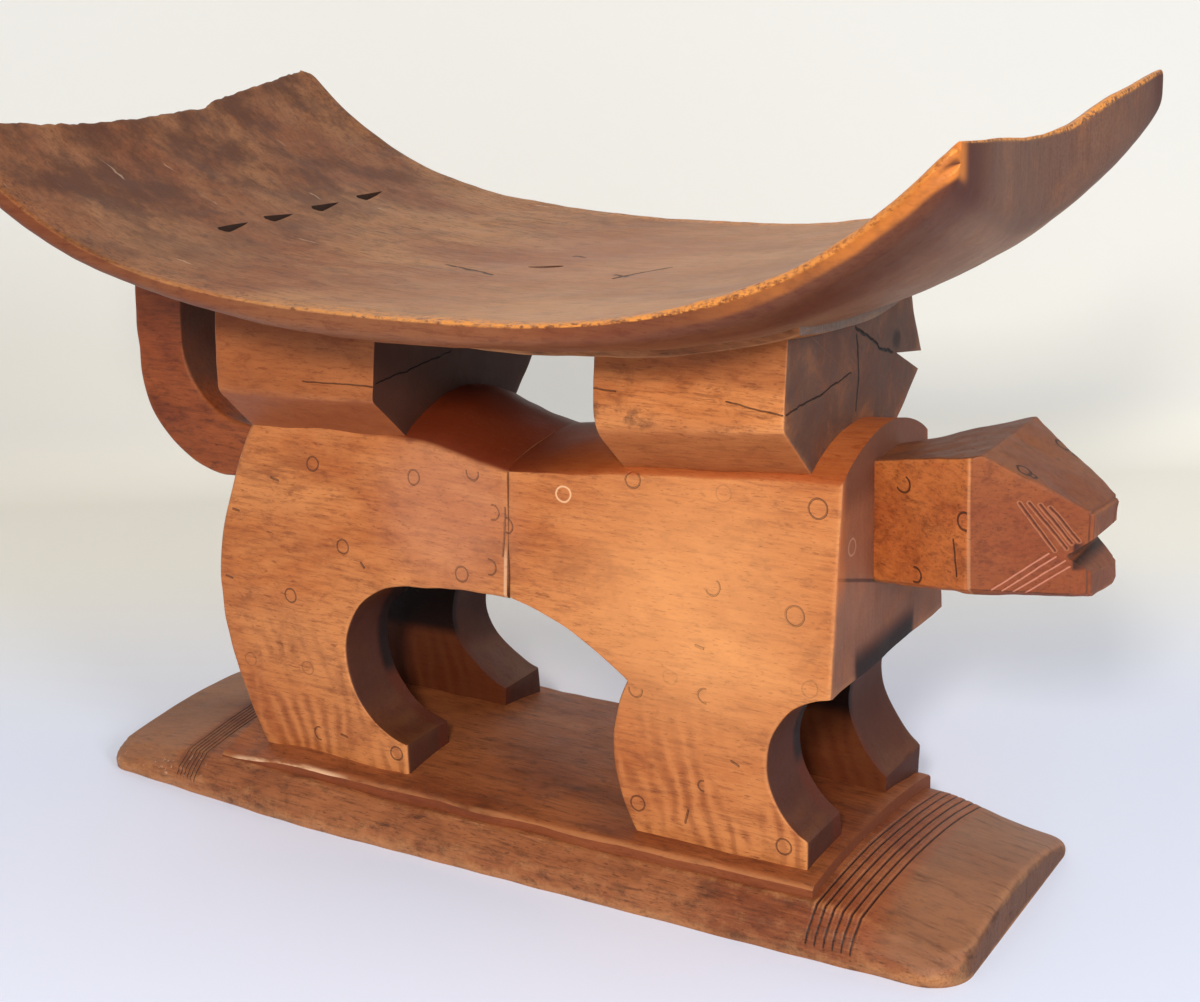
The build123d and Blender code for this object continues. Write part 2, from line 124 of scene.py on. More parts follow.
def board_loops(upper, far_rim, lower, near_rim):
    """Loops across a board from its upper run, far rim, lower run and near rim.

    The runs go from -Y to +Y with the same Y values, so that upper and lower points lie in
    pairs; the rims go from the top down.
    """
    return np.concatenate([upper, far_rim, lower[:, ::-1], near_rim[:, ::-1]], axis=1)


def folded_end(loop, flat, rings):
    """Loops from a board's end loop straight in to its middle line, where the runs meet."""
    rim = len(loop) // 2 - flat
    middle = (loop[:flat] + loop[flat + rim : 2 * flat + rim][::-1]) / 2
    line = [middle, np.repeat(middle[-1:], rim, 0), middle[::-1], np.repeat(middle[:1], rim, 0)]
    share = np.linspace(0, 1, rings + 1)[1:, None, None]
    return loop + (np.concatenate(line) - loop) * share


def eased(grid, weight, passes):
    """Wear the edges down: each point moves toward the mean of its neighbours along the piece.

    weight is (loops, points), how much of the way a point goes in each of the passes.
    """
    grid = grid.copy()
    for _ in range(passes):
        grid[1:-1] += weight[1:-1, :, None] * ((grid[:-2] + grid[2:]) / 2 - grid[1:-1])
    return grid


def sewn_mesh(name, grid):
    """A closed mesh from loops whose first and last are folded flat: equal points are made one."""
    rows, around = grid.shape[:2]
    points, place = np.unique(np.round(grid.reshape(-1, 3), 7), axis=0, return_inverse=True)
    index = place.reshape(rows, around)
    following = np.roll(index, -1, axis=1)
    quads = np.stack([index[:-1], following[:-1], following[1:], index[1:]], axis=-1)
    quads = quads.reshape(-1, 4)
    a, b, c, d = (points[quads[:, k]] for k in range(4))
    if ((np.cross(b - a, c - a) + np.cross(c - a, d - a)) * a).sum() < 0:
        quads = quads[:, ::-1]
    faces = [tuple(dict.fromkeys(face)) for face in quads.tolist()]
    mesh = bpy.data.meshes.new(name)
    mesh.from_pydata(points.tolist(), [], [face for face in faces if len(face) > 2])
    mesh.update()
    return mesh


def filled_end(loop, rings):
    """Loops that shrink from an end loop to its middle point."""
    share = np.linspace(1, 0, rings + 1)[1:, None, None]
    return loop.mean(axis=0) + (loop - loop.mean(axis=0)) * share


def carved_mesh(name, grid, rings=6):
    """A closed mesh from loops, each end filled by rings that shrink to a point."""
    start, end = (filled_end(grid[k], rings) for k in (0, -1))
    return sewn_mesh(name, np.concatenate([start[::-1], grid, end]))


def mark_edges(mesh, passes=4):
    """Store "edge" on the mesh: how far the surface turns at each point, outward edges above 0.

    It is the mean, over a point's neighbours, of the change of normal along the way to them;
    further passes of averaging widen the edges.
    """
    points = np.empty(3 * len(mesh.vertices), np.float32)
    normals = np.empty_like(points)
    pairs = np.empty(2 * len(mesh.edges), np.int32)
    mesh.vertices.foreach_get("co", points)
    mesh.vertices.foreach_get("normal", normals)
    mesh.edges.foreach_get("vertices", pairs)
    points, normals = points.reshape(-1, 3), normals.reshape(-1, 3)
    a, b = pairs.reshape(-1, 2).T
    way = points[b] - points[a]
    length = np.maximum(np.linalg.norm(way, axis=1), 1e-6)
    turn = ((normals[b] - normals[a]) * way).sum(axis=1) / length
    turn = turn * np.minimum(0.002 / length, 1)
    ends, count = np.concatenate([a, b]), len(points)
    number = np.maximum(np.bincount(ends, minlength=count), 1)
    edge = np.bincount(ends, np.concatenate([turn, turn]), minlength=count) / number
    for _ in range(passes):
        across = np.concatenate([edge[b], edge[a]])
        edge = 0.4 * edge + 0.6 * np.bincount(ends, across, minlength=count) / number
    mesh.attributes.new("edge", "FLOAT", "POINT").data.foreach_set("value", 2.0 * edge)


def finished_piece(name, mesh, material, nodes, crease=38):
    """Put a mesh in the scene as a piece of the stool that stands for the named CAD nodes."""
    mark_edges(mesh)
    piece = bpy.data.objects.new(name, mesh)
    bpy.context.collection.objects.link(piece)
    mesh.polygons.foreach_set("use_smooth", np.ones(len(mesh.polygons), bool))
    mesh.set_sharp_from_angle(angle=np.radians(crease))
    mesh.materials.clear()
    mesh.materials.append(material)
    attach(piece, "root")
    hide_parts(*nodes)


class Field:
    """A value that varies over a surface: a node socket that can be added, multiplied, ramped."""

    def __init__(self, finish, socket):
        self.finish = finish
        self.socket = socket

    def __add__(self, other):
        return self.finish.maths("ADD", self, other)

    __radd__ = __add__

    def __sub__(self, other):
        return self.finish.maths("SUBTRACT", self, other)

    def __rsub__(self, other):
        return self.finish.maths("SUBTRACT", other, self)

    def __mul__(self, other):
        return self.finish.maths("MULTIPLY", self, other)

    __rmul__ = __mul__

    def __abs__(self):
        return self.finish.maths("ABSOLUTE", self)

    def least(self, other):
        """The smaller of two values."""
        return self.finish.maths("MINIMUM", self, other)

    def most(self, other):
        """The larger of two values."""
        return self.finish.maths("MAXIMUM", self, other)

    def wave(self):
        return self.finish.maths("SINE", self)

    def ramp(self, low, high):
        """0 at low, 1 at high, smooth between; low may be above high."""
        return self.finish.node(
            "ShaderNodeMapRange",
            {"interpolation_type": "SMOOTHSTEP"},
            {"Value": self, "From Min": low, "From Max": high},
        )


class Finish:
    """One material, whose nodes are added by calls."""

    def __init__(self, name):
        self.material = bpy.data.materials.new(name)
        self.material.use_nodes = True
        self.tree = self.material.node_tree
        self.shader = self.tree.nodes["Principled BSDF"]

    def node(self, kind, settings=None, inputs=None, output=0):
        """Add a node: its settings first, then values or links for its sockets."""
        node = self.tree.nodes.new(kind)
        for key, value in (settings or {}).items():
            setattr(node, key, value)
        for key, value in (inputs or {}).items():
            self.feed(node.inputs[key], value)
        return Field(self, node.outputs[output])

    def feed(self, socket, value):
        """Link a field to a socket, or set the socket to a plain value."""
        if isinstance(value, Field):
            self.tree.links.new(value.socket, socket)
        else:
            socket.default_value = value

    def maths(self, operation, *values):
        """One step of arithmetic on plain values or fields."""
        return self.node("ShaderNodeMath", {"operation": operation}, dict(enumerate(values)))

    def vector(self, operation, *values, output=0):
        """One step of vector arithmetic; output 1 is the one that gives a single value."""
        return self.node(
            "ShaderNodeVectorMath", {"operation": operation}, dict(enumerate(values)), output
        )

    def place(self):
        """The point on the piece, in metres."""
        return self.node("ShaderNodeTexCoord", output="Object")

    def facing(self):
        """The surface's outward direction."""
        return self.node("ShaderNodeTexCoord", output="Normal")

    def parts(self, vector):
        """The x, y and z of a vector field."""
        split = self.node("ShaderNodeSeparateXYZ", {}, {"Vector": vector})
        return [Field(self, output) for output in split.socket.node.outputs]

    def noise(self, vector, scale, detail=3.0, roughness=0.55, distortion=0.0):
        """Random patches between 0 and 1, about scale of them in a metre."""
        return self.node(
            "ShaderNodeTexNoise",
            {},
            {
                "Vector": vector,
                "Scale": scale,
                "Detail": detail,
                "Roughness": roughness,
                "Distortion": distortion,
            },
        )

    def ring(self, flat, centre, radius, gap=None):
        """Distance from a circle's line; it grows where the ring is open, toward angle gap."""
        away = abs(self.vector("DISTANCE", flat, centre, output=1) - radius)
        if gap is None:
            return away
        toward = [0.0, 0.0, 0.0]
        axes = [k for k in range(3) if centre[k] != 0]
        toward[axes[0]], toward[axes[1]] = np.cos(np.radians(gap)), np.sin(np.radians(gap))
        offset = self.vector("SUBTRACT", flat, centre)
        beyond = self.vector("DOT_PRODUCT", offset, toward, output=1)
        return away + beyond.ramp(0.2 * radius, 0.6 * radius) * 0.01

    def line(self, flat, start, end):
        """Distance from the straight line between two points."""
        run = np.array(end) - np.array(start)
        offset = self.vector("SUBTRACT", flat, start)
        share = self.vector("DOT_PRODUCT", offset, tuple(run / (run**2).sum()), output=1)
        share = share.most(0.0).least(1.0)
        nearest = self.node(
            "ShaderNodeVectorMath", {"operation": "SCALE"}, {"Vector": tuple(run), "Scale": share}
        )
        return self.vector("DISTANCE", offset, nearest, output=1)

    def nearest(self, distances):
        """The least of several distances."""
        result = distances[0]
        for distance in distances[1:]:
            result = result.least(distance)
        return result

    def flattened(self, x, y, z, wobble=0.0005):
        """The point on the piece with axes kept (1) or dropped (0), a little unsteady."""
        drift = self.node(
            "ShaderNodeTexNoise", {}, {"Vector": self.place(), "Scale": 130.0}, output="Color"
        )
        drift = self.vector("SUBTRACT", drift, (0.5, 0.5, 0.5))
        drift = self.vector("MULTIPLY", drift, (2 * wobble, 2 * wobble, 2 * wobble))
        return self.vector("MULTIPLY", self.vector("ADD", self.place(), drift), (x, y, z))

    def blend(self, amount, first, second):
        """Mix two colours: amount is the second one's share."""
        node = self.tree.nodes.new("ShaderNodeMix")
        node.data_type = "RGBA"
        self.feed(node.inputs["Factor"], amount)
        colour_inputs = [socket for socket in node.inputs if socket.type == "RGBA"]
        self.feed(colour_inputs[0], first)
        self.feed(colour_inputs[1], second)
        return Field(self, [s for s in node.outputs if s.type == "RGBA"][0])

    def tinted(self, body, *layers):
        """A colour with others laid over it in turn, each (how much, hex code or field)."""
        for amount, tint in layers:
            body = self.blend(amount, body, tint if isinstance(tint, Field) else colour(tint))
        return body

    def finish(self, colour, roughness, height, depth):
        """Feed the shader: colour, roughness, and a bump whose height is in units of depth."""
        self.feed(self.shader.inputs["Base Color"], colour)
        self.feed(self.shader.inputs["Roughness"], roughness)
        bump = self.node(
            "ShaderNodeBump", {}, {"Strength": 1.0, "Distance": depth, "Height": height}
        )
        self.feed(self.shader.inputs["Normal"], bump)
        return self.material


def colour(hex_code):
    """A hexadecimal colour as linear red, green, blue and alpha."""
    parts = np.array([int(hex_code[k : k + 2], 16) for k in (0, 2, 4)]) / 255
    return (*np.where(parts <= 0.04045, parts / 12.92, ((parts + 0.055) / 1.055) ** 2.4), 1.0)


def wood(name, light, middle, dark, end, rubbed, shift=0.0, wear=0.16, ripple=0.0):
    """Hewn, hand-rubbed hardwood with its grain along X.

    light, middle and dark are the colours of the pale streaks, the body and the pores, end is
    the colour of end grain, rubbed that of worn edges, and shift moves the pattern so that
    pieces differ; wear is how bright the worn edges are, and ripple how strongly wavy bars
    cross the legs. Returns the finish, the colour so far, the roughness and the bump height, for
    marks to be added to.
    """
    light, middle, dark, end, rubbed = (colour(code) for code in (light, middle, dark, end, rubbed))
    finish = Finish(name)
    place = finish.vector("ADD", finish.place(), (shift, 2 * shift, 3 * shift))

    def stretched(x, y, z):
        return finish.vector("MULTIPLY", place, (x, y, z))

    # The figure, from broad clouds to fine pores, each pattern drawn out along the grain.
    broad = finish.noise(stretched(0.45, 1, 1), 15.0, 4.0, 0.6, 0.6)
    blotch = finish.noise(stretched(0.6, 1, 1), 44.0, 5.0, 0.65, 0.7)
    mottle = finish.noise(stretched(0.35, 1, 1), 170.0, 6.0, 0.74, 0.4)
    grain = finish.noise(stretched(0.08, 1, 1), 560.0, 6.0, 0.74)
    pores = finish.noise(stretched(0.16, 1, 1), 1300.0, 2.0, 0.5)
    speckle = finish.noise(place, 700.0, 3.0, 0.7)
    heart = finish.vector("LENGTH", stretched(0, 1, 0.55), output=1)
    growth = ((heart + broad * 0.08) * 260.0).wave()
    pits = pores.ramp(0.62, 0.74)
    body = finish.blend(broad.ramp(0.34, 0.66), middle, light)
    body = finish.blend(blotch.ramp(0.50, 0.76) * 0.50, body, dark)
    body = finish.blend(blotch.ramp(0.47, 0.25) * 0.40, body, light)
    body = finish.blend(mottle.ramp(0.50, 0.70) * 0.55, body, dark)
    body = finish.blend(mottle.ramp(0.47, 0.30) * 0.40, body, light)
    body = finish.blend(growth.ramp(0.0, 1.0) * 0.07, body, dark)
    body = finish.blend(grain.ramp(0.47, 0.68) * 0.50, body, dark)
    body = finish.blend(grain.ramp(0.47, 0.30) * 0.38, body, light)
    flecks = finish.noise(stretched(0.3, 1, 1), 330.0, 2.0, 0.5).ramp(0.66, 0.74)
    body = finish.blend(flecks * 0.55, body, dark)
    if ripple:
        along, _, up = finish.parts(place)
        warp = finish.noise(stretched(1, 0.3, 0.7), 30.0, 2.0) * 0.020
        bars = ((along + up * 0.22 + warp) * 620.0).wave()
        low = finish.parts(finish.place())[2].ramp(0.125, 0.060) * ripple
        low = low * finish.noise(place, 26.0, 2.0).ramp(0.38, 0.60)
        body = finish.blend(bars.ramp(0.1, 1.0) * low, body, light)
        body = finish.blend(bars.ramp(0.1, -1.0) * low * 0.7, body, dark)
    body = finish.blend(pits * 0.30, body, dark)
    # Sawn end grain, greyer and streaked by the saw.
    facing_x = abs(finish.parts(finish.facing())[0])
    end_face = facing_x.ramp(0.62, 0.90)
    saw = finish.noise(stretched(1, 1, 0.07), 520.0, 4.0, 0.65)
    end_body = finish.blend(speckle.ramp(0.35, 0.72) * 0.35, end, dark)
    end_body = finish.blend(saw.ramp(0.42, 0.72) * 0.40, end_body, dark)
    end_body = finish.blend(blotch.ramp(0.5, 0.25) * 0.25, end_body, middle)
    body = finish.blend((end_face * (0.75 + blotch * 0.35)).least(1.0), body, end_body)
    # Edges rubbed pale, and painted shade darkening the inner corners.
    edge = finish.node("ShaderNodeAttribute", {"attribute_name": "edge"}, output="Fac")
    patchy = finish.noise(place, 95.0, 5.0, 0.72) - 0.5
    worn = (edge + patchy * 0.45).ramp(0.08, 0.34) * speckle.ramp(0.22, 0.52)
    body = finish.blend(worn * wear, body, rubbed)
    # Painted shade: concave edges and inner corners are darkened.
    body = finish.blend(edge.ramp(-0.04, -0.30) * 0.75, body, dark)
    roughness = 0.42 + finish.noise(place, 35.0, 4.0, 0.6) * 0.20 + pits * 0.12 + end_face * 0.15
    height = grain * 0.22 + blotch * 0.30 + mottle * 0.25 - pits * 0.35
    height = height + finish.noise(place, 55.0, 3.0) * 0.8
    finish.shader.inputs["Specular IOR Level"].default_value = 0.27
    return finish, body, roughness, height


base_tail, base_head = -0.297, 0.2645
board_height, end_bevel = 0.030, 0.018
tail_fall, head_fall = 0.0112, 0.0085
tail_round, head_round = 0.006, 0.004
groove_cut = 0.0008
grooved_ends = ((-0.2345, -0.2165), (0.1867, 0.2150))
grooves_per_end = 6
flat_share = 0.86
near_corners, far_corners = (0.017, 0.022), (0.016, 0.014)
# The long edges, each point the x and the half width there.
near_edge = ((-0.295, 0.0920), (-0.237, 0.0955), (-0.130, 0.1005), (0.161, 0.0940), (0.262, 0.0905))
far_edge = (
    (-0.295, 0.0930),
    (-0.200, 0.1000),
    (-0.090, 0.1030),
    (0.188, 0.1020),
    (0.196, 0.0890),
    (0.262, 0.0845),
)


def base_height(x):
    """Middle height of the crowned top: level over the plinth, falling in an arc to the ends."""
    out = np.clip((np.abs(x + 0.015) - 0.19) / 0.09, 0, 1.05)
    return board_height - np.where(x < 0, tail_fall, head_fall) * out**1.6


def crown_drop(x, y):
    """How far the top has fallen at y: a parabola, steeper and off-centre at the head end."""
    centre = -0.012 * smooth_step(x, 0.0, 0.18)
    return (1.08 + 0.9 * smooth_step(x, 0.19, 0.25)) * (y - centre) ** 2


def groove_depth(spot):
    """Depth of the chiselled grooves at each point: rows of round-bottomed cuts, a little bent."""
    bent = spot[..., 0] + 0.0005 * wander(spot * (1, 1, 0), 0.16, 3)
    bent = bent - 0.03 * spot[..., 1] * (bent > 0)
    depth = 0 * bent
    for low, high in grooved_ends:
        pitch = (high - low) / grooves_per_end
        across = np.abs((bent - low) / pitch % 1 - 0.5) * pitch
        inside = (bent > low) & (bent < high)
        depth = depth + groove_cut * inside * np.clip(1 - across / (0.20 * pitch), 0, 1) ** 0.8
    return depth


def base_board():
    """Loops across the board along X: crowned top, rounded rims and a flat underside."""
    fine = [np.linspace(low - 0.003, high + 0.003, 90) for low, high in grooved_ends]
    first, last = base_tail + end_bevel, base_head - end_bevel
    ends = np.sin(np.linspace(0, np.pi / 2, 16)) * end_bevel
    x = np.concatenate([np.linspace(first, last, 200), *fine, first - ends, last + ends])
    x = np.unique(np.round(x, 5))
    flat = np.linspace(-flat_share, flat_share, 75)

    def edge(line, blur, corners):
        tail_corner = inside_corner(base_tail + corners[0] - x, corners[0])
        head_corner = inside_corner(x - base_head + corners[1], corners[1])
        return (soft_line(line, x, blur) - tail_corner - head_corner)[:, None]

    near, far = edge(near_edge, 0.02, near_corners), edge(far_edge, 0.003, far_corners)
    flat_y = np.where(flat < 0, near, far) * flat
    row = x[:, None]
    rounding = inside_corner(base_tail + tail_round - row, tail_round)
    rounding = rounding + inside_corner(row - base_head + head_round, head_round)

    def top(y):
        spot = np.stack([row + 0 * y, y, 0 * y], axis=-1)
        height = base_height(row) - crown_drop(row, y) - rounding
        height = height - 0.009 * smooth_step(y, 0.070, 0.100) * smooth_step(row, 0.12, 0.18)
        height = height + wander(spot, 0.11, 11) * 0.0005 + wander(spot, 0.03, 12) * 0.0001
        return height - groove_depth(spot)

    bend = np.linspace(0, 1, 15)[1:]
    bends = [0, 0.45, 0.62, 0.78, 0.9, 1]
    out = np.interp(bend, bends, [flat_share, 0.955, 0.983, 0.998, 0.999, 0.988])
    fall = np.interp(bend, bends, [1.0, 0.66, 0.50, 0.29, 0.12, 0])
    dents = wander(np.stack([row + 0 * out, 0 * row + out, 0 * row + fall], -1), 0.024, 14)
    run_x, rim_x = np.broadcast_to(row, flat_y.shape), np.broadcast_to(row, dents.shape)
    near_rim, far_rim = (
        np.stack([rim_x, side * (reach * out - 0.0004 * dents), top(rim_y) * fall], axis=-1)
        for side, reach, rim_y in ((-1, near, flat_y[:, :1]), (1, far, flat_y[:, -1:]))
    )
    upper = np.stack([run_x, flat_y, top(flat_y)], axis=-1)
    grid = board_loops(upper, far_rim, upper * (1, 1, 0), near_rim)
    caps = [folded_end(grid[k], len(flat), 8) for k in (0, -1)]
    return np.concatenate([caps[0][::-1], grid, caps[1]])


base_finish, body, roughness, height = wood(
    "worn_base_wood",
    light="A06038",
    middle="7A3D1E",
    dark="371A0E",
    end="6B4733",
    rubbed="D79A62",
    shift=0.1,
    wear=0.4,
)
groove_ink = base_finish.node("ShaderNodeAttribute", {"attribute_name": "groove"}, output="Fac")
base_x, base_y, base_z = base_finish.parts(base_finish.place())
base_up = base_finish.parts(base_finish.facing())[2]
drift = base_finish.noise(base_finish.flattened(1, 1, 0, 0), 38.0, 4.0, 0.6) * 0.030
beyond = (base_x + drift + base_y * 0.12).ramp(0.214, 0.240) * base_up.ramp(0.4, 0.8)
streak = base_finish.noise(base_finish.flattened(0.15, 1, 0, 0), 190.0, 4.0, 0.7).ramp(0.52, 0.68)
tail_top = base_x.ramp(-0.235, -0.245) * base_up.ramp(0.4, 0.8)
red_band = base_x.ramp(0.175, 0.20) * base_x.ramp(0.222, 0.214) * base_up.ramp(0.4, 0.8)
tail_band = base_x.ramp(-0.238, -0.234) * base_x.ramp(-0.213, -0.218) * base_up.ramp(0.4, 0.8)
chips = base_finish.noise(base_finish.flattened(1, 1, 1, 0), 240.0, 4.0, 0.75).ramp(0.60, 0.68)
chips = chips * base_x.ramp(-0.205, -0.225) * base_y.ramp(-0.078, -0.088) * base_z.ramp(0.002, 0.006)
rim_spots = base_finish.noise(base_finish.flattened(0.6, 1, 1, 0), 95.0, 4.0, 0.7)
body = base_finish.tinted(
    body,
    (beyond * 0.55, "93684C"),
    (streak * beyond * 0.5, "4A2A1C"),
    (tail_top * 0.45, "8C6448"),
    (red_band * 0.35, "9A4A24"),
    (tail_band * 0.5, "53291A"),
    (chips * 0.7, "C9A184"),
    (rim_spots.ramp(0.54, 0.68) * base_up.ramp(0.8, 0.4) * 0.55, "3A1D12"),
    (groove_ink.ramp(0.25, 0.85) * 0.9, "1E0D07"),
)
base_material = base_finish.finish(body, roughness, height, 0.0006)
base_mesh = sewn_mesh("base_board", base_board())
spots = np.empty(3 * len(base_mesh.vertices), np.float32)
base_mesh.vertices.foreach_get("co", spots)
spots = spots.reshape(-1, 3)
grooved = groove_depth(spots) * (spots[:, 2] > 0.008) / groove_cut
base_mesh.attributes.new("groove", "FLOAT", "POINT").data.foreach_set(
    "value", np.clip(grooved, 0, 1).astype(np.float32)
)
finished_piece("base_board", base_mesh, base_material, ["base"])

# ---------------------------------------------------------------------------------------------
# Plinth. A low hardwood step that the feet stand on, cut with the same crown as the base board
# and held to it by the feet's dowels, its front edge rubbed pale under a painted highlight and its
# tail corner worn down.

plinth_tail, plinth_head = -0.205, 0.183
plinth_rise, plinth_half, plinth_taper = 0.007, 0.0815, 0.0025 / 0.194
plinth_middle, plinth_foot = -0.011, 0.012


def plinth_step():
    """Loops along X: straight sides, a rounded rim and a crowned top; the underside is sunk."""
    stations = np.linspace(plinth_tail, plinth_head, 200)
    across = np.linspace(-1, 1, 71)
    half = plinth_half - plinth_taper * (stations - plinth_middle)
    half = half - 0.0006 * wander(np.stack([stations, 0 * stations, 0 * stations], -1), 0.05, 21)
    y = half[:, None] * across
    rim = np.clip((np.abs(across) - 0.965) / 0.035, 0, 1)
    top = base_height(stations)[:, None] + plinth_rise - crown_drop(stations[:, None], y)
    top = top - 0.0016 * rim**2
    x = np.broadcast_to(stations[:, None], y.shape)
    worn = np.exp(-(((x + 0.2) / 0.03) ** 2 + ((y + 0.082) / 0.02) ** 2))
    top = top - 0.0045 * worn
    upper = np.stack([x, y, top], axis=-1)
    upper[..., 2] += wander(upper, 0.08, 22) * 0.0004 + wander(upper, 0.02, 23) * 0.00015
    lower_y = half[:, None] * np.linspace(1, -1, 30)
    under = np.stack([stations[:, None] + 0 * lower_y, lower_y, plinth_foot + 0 * lower_y], axis=-1)
    return np.concatenate([upper, under], axis=1)


plinth_finish, body, roughness, height = wood(
    "plinth_wood",
    light="A05A30",
    middle="7A3C1E",
    dark="3C1C0E",
    end="6E4430",
    rubbed="A9663A",
    shift=0.2,
)
plinth_x, plinth_y = plinth_finish.parts(plinth_finish.place())[:2]
plinth_up = plinth_finish.parts(plinth_finish.facing())[2]
# The rim band: rubbed wear with a painted highlight on the bevel, palest toward the tail.
rim_line = plinth_y + plinth_half - (plinth_x - plinth_middle) * plinth_taper
rim_line = rim_line.ramp(0.0030, 0.0004)
rim_line = rim_line * plinth_up.ramp(0.25, 0.6) * plinth_up.ramp(0.99, 0.93)
bright = plinth_x.ramp(-0.20, -0.19) * plinth_x.ramp(-0.105, -0.125)
patches = plinth_finish.noise(plinth_finish.flattened(0.3, 1, 1, 0), 60.0, 4.0, 0.7)
# Rubbed pale and painted highlight along the front edge near the tail.
rubbed_and_highlighted = rim_line * (0.08 + bright) * patches.ramp(0.40, 0.52) * 0.8
body = plinth_finish.tinted(
    body,
    (plinth_up.ramp(0.6, 0.2) * 0.5, "7A3614"),
    (rim_line * 0.45 * patches.ramp(0.30, 0.60), "C07840"),
    (rubbed_and_highlighted, "E8BC94"),
)
plinth_material = plinth_finish.finish(body, roughness, height, 0.0005)
finished_piece(
    "plinth", carved_mesh("plinth", plinth_step()), plinth_material, ["plinth"]
)

# ---------------------------------------------------------------------------------------------
# The leopard's body: two halves of sawn hardwood, dowelled together at the waist. The flanks lean
# in toward the shoulders, the back is an arch, and the legs, belly and throat are cut out as
# round hollows. The flanks are cut with circles and short ticks.

waist = -0.003
waist_top, waist_belly = 0.2205, 0.152
foot_level = 0.020
foot_half, shoulder_half, rib_half = 0.067, 0.0545, 0.06
sawn_edge = 0.0022
hind_toe, fore_toe = -0.077, 0.175
chest_x, chest_top = 0.187, 0.2360


def arc(start, middle, end, count=60):
    """Points along the circle through three points of a plane."""
    a, b, c = (complex(*point) for point in (start, middle, end))
    w = (c - a) / (b - a)
    centre = (b - a) * (w - abs(w) ** 2) / (2j * w.imag) + a
    turn = np.angle((c - centre) / (a - centre))
    if np.sign(turn) != np.sign(np.angle((b - centre) / (a - centre))):
        turn = turn - np.sign(turn) * 2 * np.pi
    points = centre + (a - centre) * np.exp(1j * np.linspace(0, turn, count))
    return np.stack([points.real, points.imag], axis=-1)


def follow(path, share):
    """The points at given shares of a path's length."""
    steps = np.linalg.norm(np.diff(path, axis=0), axis=1)
    reach = np.concatenate([[0], np.cumsum(steps)])
    return np.stack([np.interp(share * reach[-1], reach, path[:, k]) for k in (0, 1)], axis=-1)


def flank_half_width(x, z):
    """Half the body's width: straight up to the belly, then leaning in to the shoulders."""
    shoulder = shoulder_half + 0.0055 * np.exp(-(((x - waist) / 0.05) ** 2))
    lean = np.clip((z - 0.130) / 0.104, 0, 1.2)
    return foot_half + (shoulder - foot_half) * lean


def rib_loops(first, second, edge_radius, half=rib_half, along=90, across=34):
    """Loops of a slab of the given half width: near flank, one face, far flank, other face.

    first and second are matching rows of (x, z) points; the flanks run between them.
    """
    rows = len(first)
    unit = np.ones((rows, 1))
    corners = np.stack(
        [
            np.concatenate([first[:, :1], -unit, first[:, 1:]], axis=1),
            np.concatenate([first[:, :1], unit, first[:, 1:]], axis=1),
            np.concatenate([second[:, :1], unit, second[:, 1:]], axis=1),
            np.concatenate([second[:, :1], -unit, second[:, 1:]], axis=1),
        ],
        axis=1,
    )
    corners[..., 1] *= half
    turn = np.linspace(0, np.pi / 2, 6)
    length = np.linalg.norm(second - first, axis=1)[:, None, None]
    inward = (second - first)[:, None, :] / length
    inward = np.stack([inward[..., 0], 0 * inward[..., 0], inward[..., 1]], axis=-1)
    sideways = np.array([0, 1.0, 0])

    def corner(place, toward, side):
        """A quarter circle round one corner, from the face's edge to the flank's edge."""
        place = place[:, None, :]
        in_face = sideways * side * edge_radius * (1 - np.sin(turn))[None, :, None]
        down_flank = toward * edge_radius * (1 - np.cos(turn))[None, :, None]
        return place + in_face + down_flank

    near_first = corner(corners[:, 0], inward, 1)
    far_first = corner(corners[:, 1], inward, -1)
    far_second = corner(corners[:, 2], -inward, -1)
    near_second = corner(corners[:, 3], -inward, 1)

    def run(start, end, count):
        share = np.linspace(0, 1, count + 2)[1:-1][None, :, None]
        return start[:, None] * (1 - share) + end[:, None] * share

    return np.concatenate(
        [
            near_first,
            run(near_first[:, -1], near_second[:, -1], along),
            near_second[:, ::-1],
            run(near_second[:, 0], far_second[:, 0], across),
            far_second,
            run(far_second[:, -1], far_first[:, -1], along),
            far_first[:, ::-1],
            run(far_first[:, 0], near_first[:, 0], across),
        ],
        axis=1,
    )


def widened(grid):
    """Scale the loops' width from rib_half to the flank's; the far flank flares more."""
    grid = grid.copy()
    x, y, z = np.moveaxis(grid, -1, 0)
    flare = (0.07 + 0.14 * smooth_step(x, 0.05, 0.17)) * smooth_step(-z, -0.234, -0.130)
    grid[..., 1] *= flank_half_width(x, z) / rib_half * (1 + flare * (y > 0))
    return grid


def hewn(grid, seed, depth=0.0006):
    """Move the surface in and out along its normals by slow and quick swells of the knife."""
    swell = wander(grid, 0.07, seed) * depth + wander(grid, 0.022, seed + 1) * depth * 0.3
    return grid + loop_normals(grid) * swell[..., None]


def slumped(grid):
    """Lower the back's far side around the waist, where it was cut deeper than the near side."""
    x, y, z = np.moveaxis(grid, -1, 0)
    hollow = np.exp(-(((x + 0.030) / 0.035) ** 2)) * smooth_step(y, 0.0, 0.05)
    return grid - np.stack([0 * x, 0 * x, 0.013 * hollow * smooth_step(z, 0.15, 0.215)], axis=-1)


def lowered_toe(grid, toe_x, drop):
    """Lower the top of the far foot's toe, which was cut thinner than the near one's."""
    x, y, z = np.moveaxis(grid, -1, 0)
    toe = smooth_step(y, 0.0, 0.03) * smooth_step(x, toe_x - 0.022, toe_x)
    toe = toe * smooth_step(z, 0.028, 0.048) * (1 - smooth_step(z, 0.065, 0.100))
    return grid - np.stack([0 * x, 0 * x, drop * toe], axis=-1)


def dome(share):
    """Height of the back's arch, 1 in the middle and 0 at the flank: parabola and circle.

    The near side is fuller, nearer to the circle, than the far side.
    """
    circle = np.where(share < 0, 0.55, 0.22)
    share = np.clip(np.abs(share), 0, 1)
    return (1 - circle) * (1 - share**2) + circle * np.sqrt(1 - share**2)


